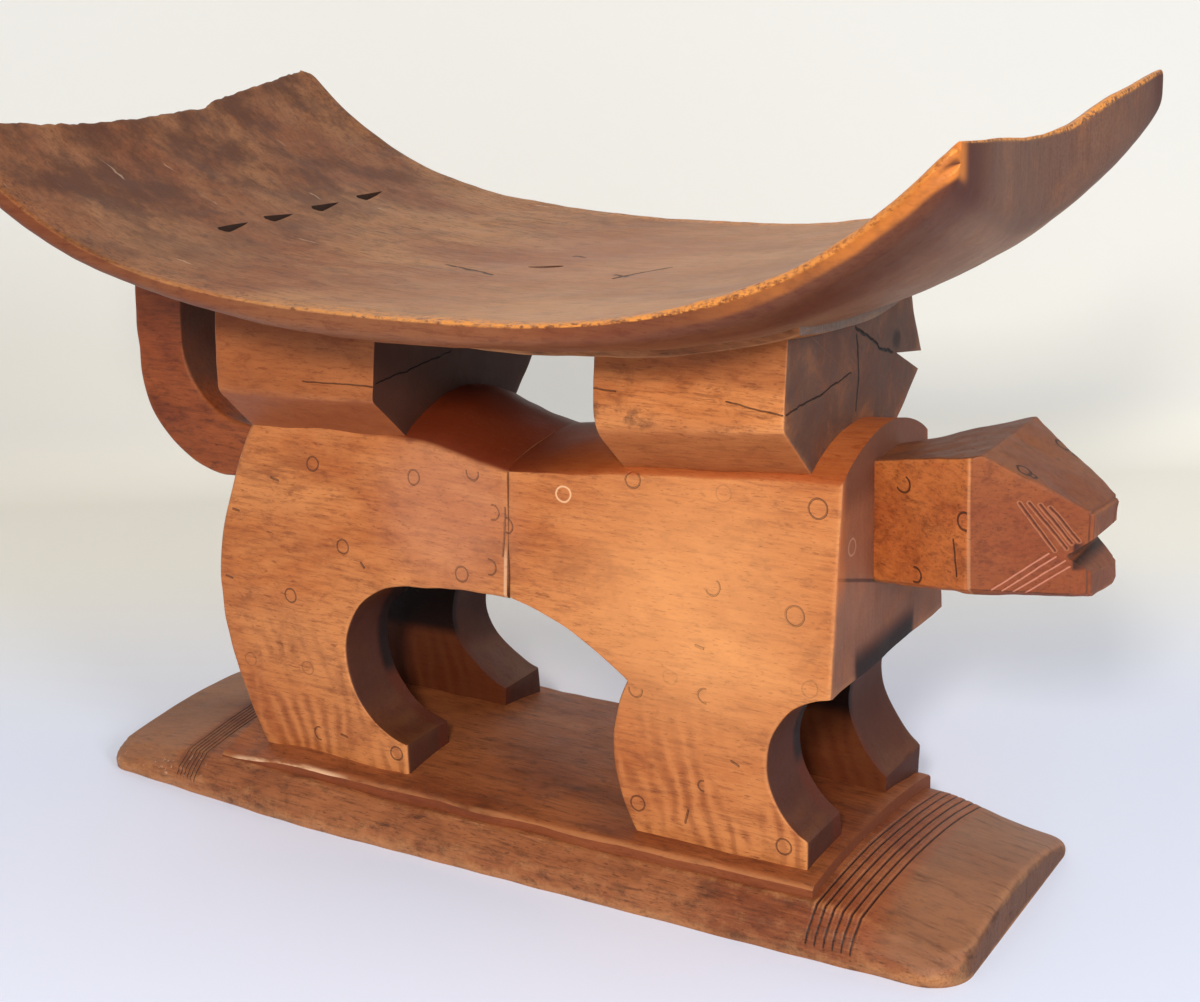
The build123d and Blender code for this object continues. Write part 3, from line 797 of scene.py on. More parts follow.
def hindquarters_loops():
    """Ribs from the rump's and back's outline to the hollow's and belly's outline."""
    rump = arc((-0.177, foot_level), (-0.2085, 0.140), (-0.177, 0.232), 90)
    back = np.array([[-0.060, 0.2270], [waist, waist_top]])
    outer = np.concatenate([rump, back])
    hollow = arc((hind_toe, 0.050), (-0.117, 0.097), (-0.068, 0.146), 90)
    belly = [[-0.036, 0.150], [waist, waist_belly]]
    inner = np.concatenate([[[hind_toe, foot_level]], hollow, belly])
    share = np.linspace(0, 1, 150)
    outer_share = np.interp(share, [0, 0.10, 0.52, 1], [0, 0.07, 0.57, 1])
    inner_share = np.interp(share, [0, 0.10, 0.52, 0.78, 1], [0, 0.11, 0.55, 0.74, 1])
    outer_line, inner_line = follow(outer, outer_share), follow(inner, inner_share)
    grid = widened(rib_loops(outer_line, inner_line, sawn_edge))
    span = inner_line - outer_line
    reach = (span**2).sum(axis=1)[:, None]
    deep = ((grid[..., ::2] - outer_line[:, None]) * span[:, None]).sum(axis=-1) / reach
    out = -span / np.linalg.norm(span, axis=1, keepdims=True)
    half = flank_half_width(grid[..., 0], grid[..., 2])
    bow = dome(grid[..., 1] / half) * np.clip(1 - deep, 0, 1) ** 2
    rise = np.interp(share, [0, 0.3, 0.52, 0.70, 0.86, 1], [0, 0.004, 0.016, 0.019, 0.0195, 0.0105])
    grid[..., 0] += bow * rise[:, None] * out[:, None, 0]
    grid[..., 2] += bow * rise[:, None] * out[:, None, 1]
    far_hollow = smooth_step(grid[..., 1], 0.0, 0.03) * smooth_step(grid[..., 2], 0.07, 0.12)
    far_hollow = far_hollow * smooth_step(deep, 0.5, 1.0) * smooth_step(-grid[..., 0], 0.02, 0.06)
    grid[..., 0] += 0.008 * far_hollow
    return slumped(lowered_toe(grid, hind_toe, 0.003))


def forequarters_loops():
    """Ribs from the belly's and fore leg's rear outline to the throat's and chest's outline."""
    elbow = (0.070, 0.118)
    calf = arc((0.082, foot_level), (0.061, 0.084), elbow, 60)
    belly = arc(elbow, (0.039, 0.138), (waist, waist_belly), 60)
    rear = np.concatenate([calf, belly[1:], [[waist, waist_top]]])
    throat = arc((fore_toe, 0.050), (0.152, 0.090), (chest_x, 0.130), 70)
    front = np.concatenate([[[fore_toe, foot_level]], throat, [[chest_x, chest_top]]])
    share = np.linspace(0, 1, 150)
    rear_share = np.interp(share, [0, 0.42, 0.72, 1], [0, 0.39, 0.75, 1])
    front_share = np.interp(share, [0, 0.16, 0.42, 0.55, 1], [0, 0.12, 0.44, 0.535, 1])
    rear_line, front_line = follow(rear, rear_share), follow(front, front_share)
    grid = widened(rib_loops(rear_line, front_line, sawn_edge))
    grid = grid + (hewn(grid, seed=33) - grid) * (1 - share**6)[:, None, None]
    narrow = np.cos(np.linspace(0, np.pi / 2, 34)[1:])[:, None]
    shoulder = grid[-1][None]
    half = flank_half_width(shoulder[..., 0], shoulder[..., 2])
    ridge_rise = 0.0105 + 0.0085 * (shoulder[..., 0] - waist) / (chest_x - waist)
    arch = np.repeat(shoulder, len(narrow), axis=0)
    arch[..., 1] *= narrow
    arch[..., 2] += ridge_rise * dome(arch[..., 1] / half) + 0.0005 * wander(arch, 0.05, 35)
    arch[-1, :, 1] = 0
    grid = np.concatenate([filled_end(grid[0], 6)[::-1], grid, arch])
    return slumped(lowered_toe(grid, fore_toe, 0.006))


def leg_gap_cutter():
    """Loops along X of the arched gap between left and right legs."""
    stations = np.linspace(-0.24, 0.22, 60)[:, None]
    arch = arc((-0.028, 0.118), (0.0025, 0.130), (0.033, 0.118), 15)
    outline = np.concatenate([arch, [[0.033, 0.0], [-0.028, 0.0]]])
    y, z = outline[:, 0][None], outline[:, 1][None]
    x = np.broadcast_to(stations, (len(stations), len(outline)))
    return np.stack([x, y + 0 * x, z + 0 * x], axis=-1)


def cut_away(mesh, cutters):
    """The mesh with the cutter meshes taken from it by a Boolean modifier, now applied."""
    piece = bpy.data.objects.new("uncut", mesh)
    bpy.context.collection.objects.link(piece)
    tools = []
    for cutter in cutters:
        tool = bpy.data.objects.new("cutter", cutter)
        bpy.context.collection.objects.link(tool)
        modifier = piece.modifiers.new("cut", "BOOLEAN")
        modifier.operation = "DIFFERENCE"
        modifier.solver = "MANIFOLD"
        modifier.object = tool
        tools.append(tool)
    graph = bpy.context.evaluated_depsgraph_get()
    result = bpy.data.meshes.new_from_object(piece.evaluated_get(graph))
    for thing in (piece, *tools):
        bpy.data.objects.remove(thing)
    return result


body_finish, body, roughness, height = wood(
    "body_wood",
    light="CB8046",
    middle="AF602C",
    dark="713317",
    end="855A44",
    rubbed="DB9A5E",
    shift=0.3,
    ripple=0.55,
)
# Cut circles on the near flank: x, z, radius in millimetres, and the angle where one stays open.
near_rings = (
    (-0.1389, 0.2076, 4.0, None),
    (-0.0667, 0.2092, 4.0, None),
    (-0.0261, 0.2175, 4.2, 90),
    (-0.0134, 0.1972, 4.2, 180),
    (-0.1164, 0.1631, 4.0, None),
    (-0.0338, 0.1600, 4.2, None),
    (-0.1540, 0.1290, 4.0, None),
    (-0.0146, 0.1672, 4.2, 180),
    (-0.1417, 0.0439, 4.0, 0),
    (-0.0847, 0.0433, 4.0, None),
    (-0.0036, 0.1916, 4.0, 180),
    (0.0712, 0.2250, 4.2, None),
    (0.1745, 0.2239, 5.0, None),
    (0.1190, 0.1763, 4.2, 135),
    (0.1654, 0.1693, 5.0, None),
    (0.1169, 0.1187, 4.0, 0),
    (0.0757, 0.1142, 4.0, 90),
    (0.0755, 0.0488, 4.2, None),
    (0.1152, 0.0682, 3.0, 0),
    (0.1614, 0.0443, 4.2, None),
)
faint_rings = (
    (0.1231, 0.2247, 4.2, None),
    (-0.1904, 0.0822, 4.0, None),
    (-0.1472, 0.0845, 4.0, None),
    (0.1757, 0.1339, 4.2, None),
    (0.0969, 0.1255, 4.0, None),
)
# Cut ticks on the near flank, from one (x, z) to another.
near_ticks = (
    ((-0.1250, 0.0468), (-0.1210, 0.0460)),
    ((-0.1990, 0.1738), (-0.1945, 0.1730)),
    ((-0.2040, 0.1332), (-0.1990, 0.1325)),
    ((-0.1035, 0.1555), (-0.1015, 0.1530)),
    ((0.1110, 0.1450), (0.1155, 0.1440)),
    ((0.1320, 0.0855), (0.1360, 0.0840)),
    ((0.1040, 0.0440), (0.1060, 0.0515)),
    ((-0.0060, 0.1750), (-0.0050, 0.2010)),
    ((-0.1700, 0.1960), (-0.1640, 0.1950)),
)
flank = body_finish.flattened(1, 0, 1)
body_x, body_y, body_z = body_finish.parts(body_finish.place())
face_x, face_y, face_z = body_finish.parts(body_finish.facing())
near_face = face_y.ramp(-0.5, -0.8) * body_y.ramp(-0.040, -0.046)


def ring_field(finish, flat, rings):
    """Distance from the nearest of the rings, each (x, z, radius in millimetres, gap)."""
    return finish.nearest(
        [finish.ring(flat, (x, 0, z), radius / 1000, gap) for x, z, radius, gap in rings]
    )


cut_lines = ring_field(body_finish, flank, near_rings)
tick_lines = body_finish.nearest(
    [body_finish.line(flank, (a, 0, b), (c, 0, d)) for (a, b), (c, d) in near_ticks]
)
ring_ink = cut_lines.ramp(0.00062, 0.00020) * near_face
faint_ink = ring_field(body_finish, flank, faint_rings).ramp(0.0006, 0.0002) * near_face
tick_ink = tick_lines.ramp(0.0009, 0.0003) * near_face
chest_ring = body_finish.ring(body_finish.flattened(0, 1, 1), (0, -0.0425, 0.2021), 0.0042)
chest_ring = chest_ring.ramp(0.0007, 0.0003)
pale_ring = body_finish.ring(flank, (0.0312, 0, 0.2130), 0.0042).ramp(0.0007, 0.0003) * near_face
seam_pale = abs(body_x + 0.0042).ramp(0.0013, 0.0005) * body_z.ramp(0.182, 0.172)
chest_face = face_x.ramp(0.75, 0.92) * body_x.ramp(0.165, 0.180)
chest_split = body_z + body_y * 0.3256 - 0.1711
# Painted sheen: a paler patch on the fore flank where the lamp's highlight falls.
painted_flank_sheen = body_finish.vector("DISTANCE", flank, (0.110, 0, 0.165), output=1).ramp(0.11, 0.02)
# Painted sheen: a pale pinkish patch on the hind flank near the waist.
painted_pink_sheen = body_finish.vector("DISTANCE", flank, (-0.045, 0, 0.195), output=1).ramp(0.065, 0.02)
# Painted shade: the top of the back under the seat, deepest between the blocks, darkened toward a
# deep red.
painted_back_shade = face_z.ramp(0.25, 0.75) * body_z.ramp(0.205, 0.222)
painted_back_shade = painted_back_shade * (0.55 + body_x.ramp(0.06, -0.01) * 0.4)
shaded_back_red = body_finish.blend(body_x.ramp(0.01, 0.07), colour("64200A"), colour("9A3A12"))
# Painted shade: the hollows of the legs, belly and throat darkened.
painted_hollow_shade = abs(face_y).ramp(0.75, 0.35) * body_z.ramp(0.165, 0.150)
painted_hollow_shade = painted_hollow_shade * (1 - body_x.ramp(0.158, 0.170) * body_z.ramp(0.118, 0.128) * 0.8)
# Painted shade on the inner walls of the leg gap, with a painted black shadow across their upper
# part.
gap_wall_shade = abs(body_y).ramp(0.040, 0.034) * body_z.ramp(0.150, 0.135)
chest_edge = face_x.ramp(0.75, 0.92) * abs(body_y).ramp(0.048, 0.056) * body_x.ramp(0.165, 0.180)
body = body_finish.tinted(
    body,
    (ring_ink * 0.62, "45281E"),
    (faint_ink * 0.35, "40241A"),
    (tick_ink * 0.6, "38201A"),
    (pale_ring * 0.75, "E8B98A"),
    (seam_pale * near_face * 0.7, "DDB088"),
    # Painted reflections on the chest front: reddened above the split line by light thrown back from
    # the head, greyed below it by light from the floor.
    (chest_face * chest_split.ramp(-0.001, 0.004) * 0.45, "8A5238"),
    (chest_face * chest_split.ramp(0.004, -0.002) * 0.15, "6A4A3C"),
    (chest_face * body_z.ramp(0.215, 0.232) * 0.60, "542C20"),
    (chest_face * chest_ring * 0.5, "B98A6C"),
    (chest_face * abs(chest_split).ramp(0.0014, 0.0005) * 0.7, "2E1A12"),
    (painted_flank_sheen * near_face * 0.45, "EFA766"),
    (painted_pink_sheen * near_face * 0.35, "C98A68"),
    (painted_back_shade, shaded_back_red),
    (painted_hollow_shade * 0.88, "3A1206"),
    (gap_wall_shade * 0.90, "54200B"),
    # Painted shadow: the upper part of the gap walls near black.
    (gap_wall_shade * body_z.ramp(0.072, 0.082) * 0.92, "0E0302"),
    (chest_edge * body_z.ramp(0.17, 0.19) * 0.5, "B4622E"),
)
height = height - (ring_ink + tick_ink) * 1.2
body_material = body_finish.finish(body, roughness, height, 0.0005)
gap_cutter = carved_mesh("leg_gap", leg_gap_cutter())
hind_mesh = carved_mesh("hindquarters", hewn(hindquarters_loops(), seed=31))
finished_piece(
    "hindquarters",
    cut_away(hind_mesh, [gap_cutter.copy()]),
    body_material,
    ["hindquarters"],
)
fore_mesh = sewn_mesh("forequarters", forequarters_loops())
finished_piece(
    "forequarters",
    cut_away(fore_mesh, [gap_cutter.copy()]),
    body_material,
    ["forequarters"],
)

# ---------------------------------------------------------------------------------------------
# Head. A hardwood block, dowelled to the chest. In plan it is a diamond: it widens from the neck
# to a sharp cheek ridge, then narrows and falls to the nose. The mouth is a wedge cut, the
# whiskers are knife grooves.

neck_x, ridge_x, nose_x = 0.184, 0.2455, 0.2974
whisker_half, whisker_cut = 0.0010, 0.0006
# The whiskers, from one (x, z) to another: four above the mouth and four below it.
whisker_grooves = (
    ((0.2665, 0.2325), (0.2815, 0.2085)),
    ((0.2705, 0.2325), (0.2865, 0.2095)),
    ((0.2750, 0.2315), (0.2885, 0.2120)),
    ((0.2790, 0.2300), (0.2915, 0.2130)),
    ((0.2790, 0.2070), (0.2560, 0.1890)),
    ((0.2820, 0.2055), (0.2605, 0.1885)),
    ((0.2860, 0.2035), (0.2650, 0.1880)),
    ((0.2880, 0.2005), (0.2700, 0.1875)),
)


def segment_distance(x, z, start, end):
    """Distance from each (x, z) to the segment from start to end."""
    run = np.array(end) - np.array(start)
    share = ((x - start[0]) * run[0] + (z - start[1]) * run[1]) / (run**2).sum()
    share = np.clip(share, 0, 1)
    return np.hypot(x - start[0] - share * run[0], z - start[1] - share * run[1])


def head_loops():
    """Loops along X: a six-sided section whose sizes change in straight lines along the head."""
    stations = np.unique(
        np.concatenate([np.linspace(neck_x, nose_x, 150), ridge_x + np.linspace(-0.002, 0.002, 7)])
    )
    marks = [neck_x, ridge_x - 0.001, ridge_x + 0.001, nose_x]
    half = np.interp(stations, marks, [0.0150, 0.0405, 0.0405, 0.0150])
    top = np.interp(stations, [neck_x, 0.2500, nose_x], [0.2385, 0.2555, 0.2270])
    bottom = np.interp(stations, [neck_x, ridge_x, nose_x], [0.1740, 0.1848, 0.1838])
    chamfer = np.interp(stations, [neck_x, ridge_x, nose_x], [0.004, 0.006, 0.004])
    corners = np.stack(
        [
            np.stack([stations, -half, top], -1),
            np.stack([stations, -half, bottom + chamfer * 0.7], -1),
            np.stack([stations, -half + chamfer, bottom], -1),
            np.stack([stations, half - chamfer, bottom], -1),
            np.stack([stations, half, bottom + chamfer * 0.7], -1),
            np.stack([stations, half, top], -1),
        ],
        axis=1,
    )
    grid = rounded_loops(corners, [0.0016, 0.0008, 0.0012, 0.0012, 0.0008, 0.0016], edge_points=46)
    ends = rounded_end(grid[-1], np.array([1.0, 0, 0]), 0.0018)
    grid = np.concatenate([grid[grid[:, 0, 0] < nose_x - 0.0022], ends])
    skew = smooth_step(grid[..., 0], ridge_x, nose_x) * smooth_step(grid[..., 1], -0.018, 0.015)
    grid[..., 0] += 0.0030 * skew
    normal = loop_normals(grid)
    x, z = grid[..., 0], grid[..., 2]
    near = np.min([segment_distance(x, z, a, b) for a, b in whisker_grooves], axis=0)
    groove = np.clip(1 - near / whisker_half, 0, 1) * (np.abs(normal[..., 1]) > 0.5)
    outward = np.sign((normal * (grid - grid.mean(axis=1, keepdims=True))).sum(-1, keepdims=True))
    swell = wander(grid, 0.04, 41) * 0.0005 + wander(grid, 0.012, 42) * 0.00015
    return grid + normal * outward * (swell - whisker_cut * groove)[..., None]


def mouth_cutter():
    """Loops along Y of the open mouth: a wedge with a rounded root."""
    stations = np.linspace(-0.03, 0.03, 25)[:, None]
    root = arc((0.2885, 0.2075), (0.2868, 0.2060), (0.2885, 0.2040), 7)
    outline = np.concatenate([[[0.3040, 0.2190]], root, [[0.3040, 0.1920]]])
    x, z = outline[:, 0][None], outline[:, 1][None]
    return np.stack([x + 0 * stations, 0 * x + stations, z + 0 * stations], axis=-1)


head_finish, body, roughness, height = wood(
    "head_wood",
    light="CC7638",
    middle="A85226",
    dark="5E2B14",
    end="6B4433",
    rubbed="D08A56",
    shift=0.4,
)
cheek = head_finish.flattened(1, 0, 1, 0.0003)
crown = head_finish.flattened(1, 1, 0, 0.0003)
head_x, _, head_z = head_finish.parts(head_finish.place())
_, cheek_y, head_up = head_finish.parts(head_finish.facing())
cheek_rings = ring_field(
    head_finish,
    cheek,
    ((0.2050, 0.2318, 4.4, 140), (0.2434, 0.2226, 4.4, 0), (0.2136, 0.1873, 4.0, 180)),
)
eyes = head_finish.nearest(
    [
        head_finish.ring(crown, (x, y, 0), radius)
        for x, y, radius in (
            (0.2657, -0.0241, 0.0032),
            (0.2700, -0.0238, 0.0016),
            (0.2671, 0.0271, 0.0032),
            (0.2745, 0.0263, 0.0016),
        )
    ]
)
cheek_crack = head_finish.line(cheek, (0.2367, 0, 0.2120), (0.2393, 0, 0.1943))
upper_whiskers, lower_whiskers = [
    head_finish.nearest([head_finish.line(cheek, (a, 0, b), (c, 0, d)) for (a, b), (c, d) in cuts])
    for cuts in (whisker_grooves[:4], whisker_grooves[4:])
]
chin_crack = head_finish.line(cheek, (0.2470, 0, 0.1893), (0.2880, 0, 0.1868))
on_cheek = abs(cheek_y).ramp(0.35, 0.6)
cheek_ink = cheek_rings.ramp(0.0007, 0.0003).most(cheek_crack.ramp(0.0007, 0.0002)) * on_cheek
eye_ink = eyes.ramp(0.0008, 0.0003) * head_up.ramp(0.5, 0.8)
# Painted shade: the front cheeks, which face away from the lamp, darkened.
shaded_front_cheek = head_x.ramp(0.2445, 0.2465) * abs(cheek_y).ramp(0.3, 0.5)
ridge = abs(head_x - ridge_x + (head_z - 0.2200) * 0.03).ramp(0.0012, 0.0003) * on_cheek
dark_whisker = upper_whiskers.ramp(0.0005, 0.0001).most(chin_crack.ramp(0.0006, 0.0002) * 0.7)
whisker_lip = abs(upper_whiskers - 0.0009).ramp(0.0004, 0.0001) * on_cheek
pale_whisker = lower_whiskers.ramp(0.0006, 0.0001) * on_cheek
# Painted shade inside the mouth cut.
mouth_shade = head_x.ramp(0.2885, 0.2900) * abs(head_z - 0.2055).ramp(0.0075, 0.0055)
body = head_finish.tinted(
    body,
    (shaded_front_cheek * 0.65, "5E2814"),
    (head_up.ramp(0.5, 0.8) * 0.70, "523428"),
    (ridge * 0.35, "D99A6A"),
    (cheek_ink * 0.8, "351A10"),
    (eye_ink * 0.8, "351A10"),
    (dark_whisker * on_cheek * 0.75, "33170D"),
    (whisker_lip * 0.25, "D0906A"),
    (pale_whisker * 0.55, "D88E72"),
    (mouth_shade * head_x.ramp(0.2965, 0.2900) * 0.85, "1E0F0A"),
)
height = height - (cheek_ink + eye_ink) * 1.2
head_material = head_finish.finish(body, roughness, height, 0.0005)
mouth = carved_mesh("mouth", mouth_cutter())
finished_piece(
    "head",
    cut_away(carved_mesh("head", head_loops(), rings=10), [mouth]),
    head_material,
    ["head"],
    crease=30,
)

# ---------------------------------------------------------------------------------------------
# Tail. A flat hardwood strap, sawn to one sweep: a dowel holds it to the rump, it turns up and
# meets the seat's underside, where a second dowel holds it.

tail_middle, tail_half = -0.0135, 0.019


def tail_loops():
    """Ribs across the strap, from its outer to its inner outline."""
    outer = np.concatenate(
        [
            arc((-0.278, 0.366), (-0.2885, 0.306), (-0.2915, 0.256), 50),
            arc((-0.2915, 0.256), (-0.2735, 0.202), (-0.230, 0.182), 60)[1:],
            [[-0.190, 0.184]],
        ]
    )
    inner = np.concatenate(
        [
            [[-0.246, 0.346]],
            arc((-0.2525, 0.290), (-0.2545, 0.275), (-0.2550, 0.262), 10),
            arc((-0.2550, 0.262), (-0.2440, 0.232), (-0.213, 0.2165), 50)[1:],
            [[-0.188, 0.214]],
        ]
    )
    share = np.linspace(0, 1, 130)
    grid = rib_loops(
        follow(outer, np.interp(share, [0, 0.45, 0.9, 1], [0, 0.45, 0.86, 1])),
        follow(inner, np.interp(share, [0, 0.45, 0.9, 1], [0, 0.50, 0.88, 1])),
        sawn_edge,
        half=tail_half,
        along=34,
        across=34,
    )
    grid[..., 1] += tail_middle
    return hewn(grid, seed=51, depth=0.0007)


tail_finish, body, roughness, height = wood(
    "tail_wood",
    light="A65627",
    middle="843D1A",
    dark="481F0D",
    end="5E3B2C",
    rubbed="BD7440",
    shift=0.5,
)
tail_material = tail_finish.finish(body, roughness, height, 0.0005)
finished_piece(
    "tail", carved_mesh("tail", tail_loops()), tail_material, ["tail"]
)

# ---------------------------------------------------------------------------------------------
# Blocks under the seat. Two hardwood prisms, dowelled to the back below and to the seat above,
# sawn across the grain at both ends. Their sides lean out from the seat to a crease and turn in
# steeply to the leopard's back. Their dark ends are cracked; painted shade darkens the rear
# block's head end further.

crease_half, block_foot_half, foot_fall = 0.0820, 0.0420, 0.038
near_top_half, far_top_half, block_drop = 0.0745, 0.0650, 0.020
seat_middle, seat_arm = -0.0113, 0.28613


def block_loops(tail_x, head_x, tail_crease, head_crease, tail_round, far_lean, seed):
    """Loops along X of a six-sided block; its top is sunk in the pad and its foot in the back.

    The near crease is rounder toward the tail, and the far crease leans out by far_lean.
    """
    stations = np.linspace(tail_x, head_x, 90)
    crease = np.interp(stations, [tail_x, head_x], [tail_crease, head_crease])

    def side(y, z):
        return np.stack([stations, np.broadcast_to(y, 90), np.broadcast_to(z, 90)], -1)

    corners = np.stack(
        [
            side(-near_top_half, seat_height(stations) - block_drop),
            side(-crease_half, crease),
            side(-block_foot_half, crease - foot_fall),
            side(block_foot_half, crease - foot_fall),
            side(crease_half + far_lean, crease),
            side(far_top_half, seat_height(stations) - block_drop),
        ],
        axis=1,
    )
    radii = np.full((90, 6), 0.0016)
    radii[:, 1] = np.interp(stations, [tail_x, head_x], [tail_round, 0.003])
    grid = rounded_loops(corners, radii, edge_points=40, bend_points=7)
    low = rounded_end(grid[0], np.array([-1.0, 0, 0]), 0.0013)[::-1]
    high = rounded_end(grid[-1], np.array([1.0, 0, 0]), 0.0013)
    grid = np.concatenate([low, grid[2:-2], high])
    return hewn(grid, seed)


def seat_height(x):
    """Height of the seat's long edges: a polynomial that rises toward both ends."""
    u = (x - seat_middle) / seat_arm
    return 0.32256 + 0.026 * u**2 + 0.00495 * u**3 + 0.06295 * u**4


block_finish, body, roughness, height = wood(
    "block_wood",
    light="D08448",
    middle="AC5E2A",
    dark="622C0E",
    end="4A3831",
    rubbed="D69660",
    shift=0.6,
)
section = block_finish.flattened(0, 1, 1, 0.0016)
block_side = block_finish.flattened(1, 0, 1, 0.0008)
block_x, _, block_z = block_finish.parts(block_finish.place())
block_face_x, block_face_y, block_face_z = block_finish.parts(block_finish.facing())


def end_cracks(paths):
    """Distance from the nearest of the cracks, each a run of (y, z) points on an end face."""
    pairs = [pair for path in paths for pair in zip(path[:-1], path[1:])]
    return block_finish.nearest(
        [block_finish.line(section, (0, a, b), (0, c, d)) for (a, b), (c, d) in pairs]
    )


front_cracks = end_cracks(
    (
        ((-0.0016, 0.3017), (0.0212, 0.2909), (0.0290, 0.2855), (0.0466, 0.2789)),
        ((0.0007, 0.2976), (0.0023, 0.2911), (0.0042, 0.2739), (0.0009, 0.2585)),
    )
)
rear_cracks = end_cracks((((-0.0773, 0.2657), (-0.0528, 0.2665), (-0.0100, 0.2689)),))
side_cracks = block_finish.nearest(
    [
        block_finish.line(block_side, (0.1378, 0, 0.2792), (0.1679, 0, 0.2757)),
        block_finish.line(block_side, (0.0634, 0, 0.2778), (0.0766, 0, 0.2771)),
        block_finish.line(block_side, (-0.1210, 0, 0.2631), (-0.0732, 0, 0.2643)),
    ]
)
head_end = block_face_x.ramp(0.6, 0.85)
front_half = block_x.ramp(-0.01, 0.01)
fine_crack = end_cracks((((-0.0794, 0.2760), (-0.0400, 0.2768), (-0.0054, 0.2795)),))
crack_ink = front_cracks.ramp(0.0010, 0.0002).most(fine_crack.ramp(0.0006, 0.0001) * 0.8)
crack_ink = crack_ink * front_half
crack_ink = crack_ink.most(rear_cracks.ramp(0.0006, 0.0001) * (1 - front_half)) * head_end
side_ink = side_cracks.ramp(0.0005, 0.0001) * block_face_y.ramp(-0.4, -0.7)
# Painted shade: the lower, downward-leaning near facets darkened.
shaded_lower_face = block_face_z.ramp(-0.35, -0.6) * block_face_y.ramp(-0.2, -0.4)
stain = block_finish.noise(block_side, 60.0, 4.0, 0.7).ramp(0.45, 0.6)
stain = stain * block_x.ramp(0.115, 0.075) * front_half * abs(block_z - 0.266).ramp(0.008, 0.002)
# Painted shadow of the seat along the top of the blocks' near sides.
seat_shadow_band = block_z.ramp(0.283, 0.290) * block_face_y.ramp(-0.4, -0.7)
knot = block_finish.vector("DISTANCE", section, (0, 0.0525, 0.2850), output=1)
body = block_finish.tinted(
    body,
    (shaded_lower_face * 0.5, "8A4420"),
    ((1 - front_half) * 0.55, "86401C"),
    (stain * 0.7, "3A1F14"),
    (seat_shadow_band * 0.45, "7A3A16"),
    # Painted shade: the rear block's head end, facing into the gap under the seat, darkened almost
    # to black.
    (head_end * (1 - front_half) * 0.75, "241410"),
    (knot.ramp(0.0070, 0.0030) * head_end * front_half * 0.7, "1E1310"),
    (crack_ink * 0.92, "0C0706"),
    (side_ink * 0.6, "2A140C"),
)
height = height - crack_ink * 4.0 - side_ink * 2.0
block_material = block_finish.finish(body, roughness, height, 0.0005)
rear_loops = block_loops(
    tail_x=-0.184,
    head_x=-0.073,
    tail_crease=0.251,
    head_crease=0.256,
    tail_round=0.005,
    far_lean=0,
    seed=61,
)
finished_piece(
    "rear_block",
    carved_mesh("rear_block", rear_loops, rings=16),
    block_material,
    ["rear_block"],
    crease=30,
)


def split_cutter():
    """Loops along X of the wedge that has split off the front block's far side at its end."""
    share = np.linspace(0, 1, 20)[:, None]
    grow = share**0.5
    root_y, root_z = 0.100, 0.2715
    x = 0.105 + 0.075 * share
    y = root_y + (np.array([0.048, 0.100, 0.100]) - root_y) * grow
    z = root_z + (np.array([0.278, 0.2690, 0.2515]) - root_z) * grow
    return np.stack([x + 0 * y, y + 0.0006 * np.sin(40 * share), z], axis=-1)


front_loops = block_loops(
    tail_x=0.063,
    head_x=0.169,
    tail_crease=0.258,
    head_crease=0.268,
    tail_round=0.014,
    far_lean=0.006,
    seed=63,
)
split = carved_mesh("split", split_cutter()[1:])
finished_piece(
    "front_block",
    cut_away(carved_mesh("front_block", front_loops, rings=16), [split]),
    block_material,
    ["front_block"],
    crease=30,
)

# ---------------------------------------------------------------------------------------------
# Pad. A thin plate of hardwood between the seat's hull and the blocks, glued to both and held by
# the seat dowels that pass through it. Its sawn ends show rough, greyish end grain.

pad_tail, pad_head, pad_half = -0.183, 0.179, 0.086


def pad_loops():
    """Loops along X of a plate whose underside bellies down below the seat's hull."""
    stations = np.linspace(pad_tail, pad_head, 170)
    height = seat_height(stations)
    stretch = np.hypot(1, np.gradient(height, stations))
    outline = ((1, -0.014), (1, -0.030), (0.5, -0.0358), (0, -0.0380), (-0.5, -0.0358))
    outline = (*outline, (-1, -0.030), (-1, -0.014))
    corners = np.stack(
        [
            np.stack([stations, -pad_half * side + 0 * stations, height + fall * stretch], axis=-1)
            for side, fall in outline
        ],
        axis=1,
    )
    radii = [0.0012, 0.0012, 0.02, 0.02, 0.02, 0.0012, 0.0012]
    return hewn(rounded_loops(corners, radii, edge_points=20, bend_points=6), seed=71, depth=0.0004)


pad_finish, body, roughness, height = wood(
    "pad_wood",
    light="AF7444",
    middle="8C4F26",
    dark="50290F",
    end="6E6058",
    rubbed="C9935F",
    shift=0.7,
)
pad_material = pad_finish.finish(body, roughness, height, 0.0005)
finished_piece(
    "seat_pad", carved_mesh("seat_pad", pad_loops()), pad_material, ["seat_pad"]
)

# ---------------------------------------------------------------------------------------------
# Seat. One wide hardwood board hollowed into a saddle: a shallow dish on top, a hull below, ends
# cut upright and a little hollow in plan, every rim rubbed round and bright by hands. The
# blocks' dowels end in it.

seat_reach = 0.2861
seat_half, keel_depth, dish_depth = 0.1495, 0.034, 0.0040
flat_reach, rim_share = 0.955, 0.945
tail_width, head_width = 0.1555, 0.1435
end_rings = 14
# The ends in plan, each point a y and the x there.
seat_head_end = (
    (-0.150, 0.2735),
    (-0.088, 0.2710),
    (-0.046, 0.2680),
    (-0.006, 0.2655),
    (0.022, 0.2708),
    (0.047, 0.2790),
    (0.087, 0.2820),
    (0.150, 0.2800),
)
seat_tail_end = (
    (-0.155, -0.2970),
    (-0.096, -0.2925),
    (-0.054, -0.2885),
    (0.042, -0.2880),
    (0.048, -0.2905),
    (0.107, -0.2955),
    (0.155, -0.2985),
)
# How deep the board's edge is, each point an x and the depth there.
lip_depth = (
    (-0.297, 0.0150),
    (-0.264, 0.0146),
    (-0.236, 0.0122),
    (-0.208, 0.0107),
    (-0.150, 0.0092),
    (-0.108, 0.0112),
    (-0.048, 0.0131),
    (0.030, 0.0118),
    (0.093, 0.0110),
    (0.162, 0.0132),
    (0.275, 0.0175),
)


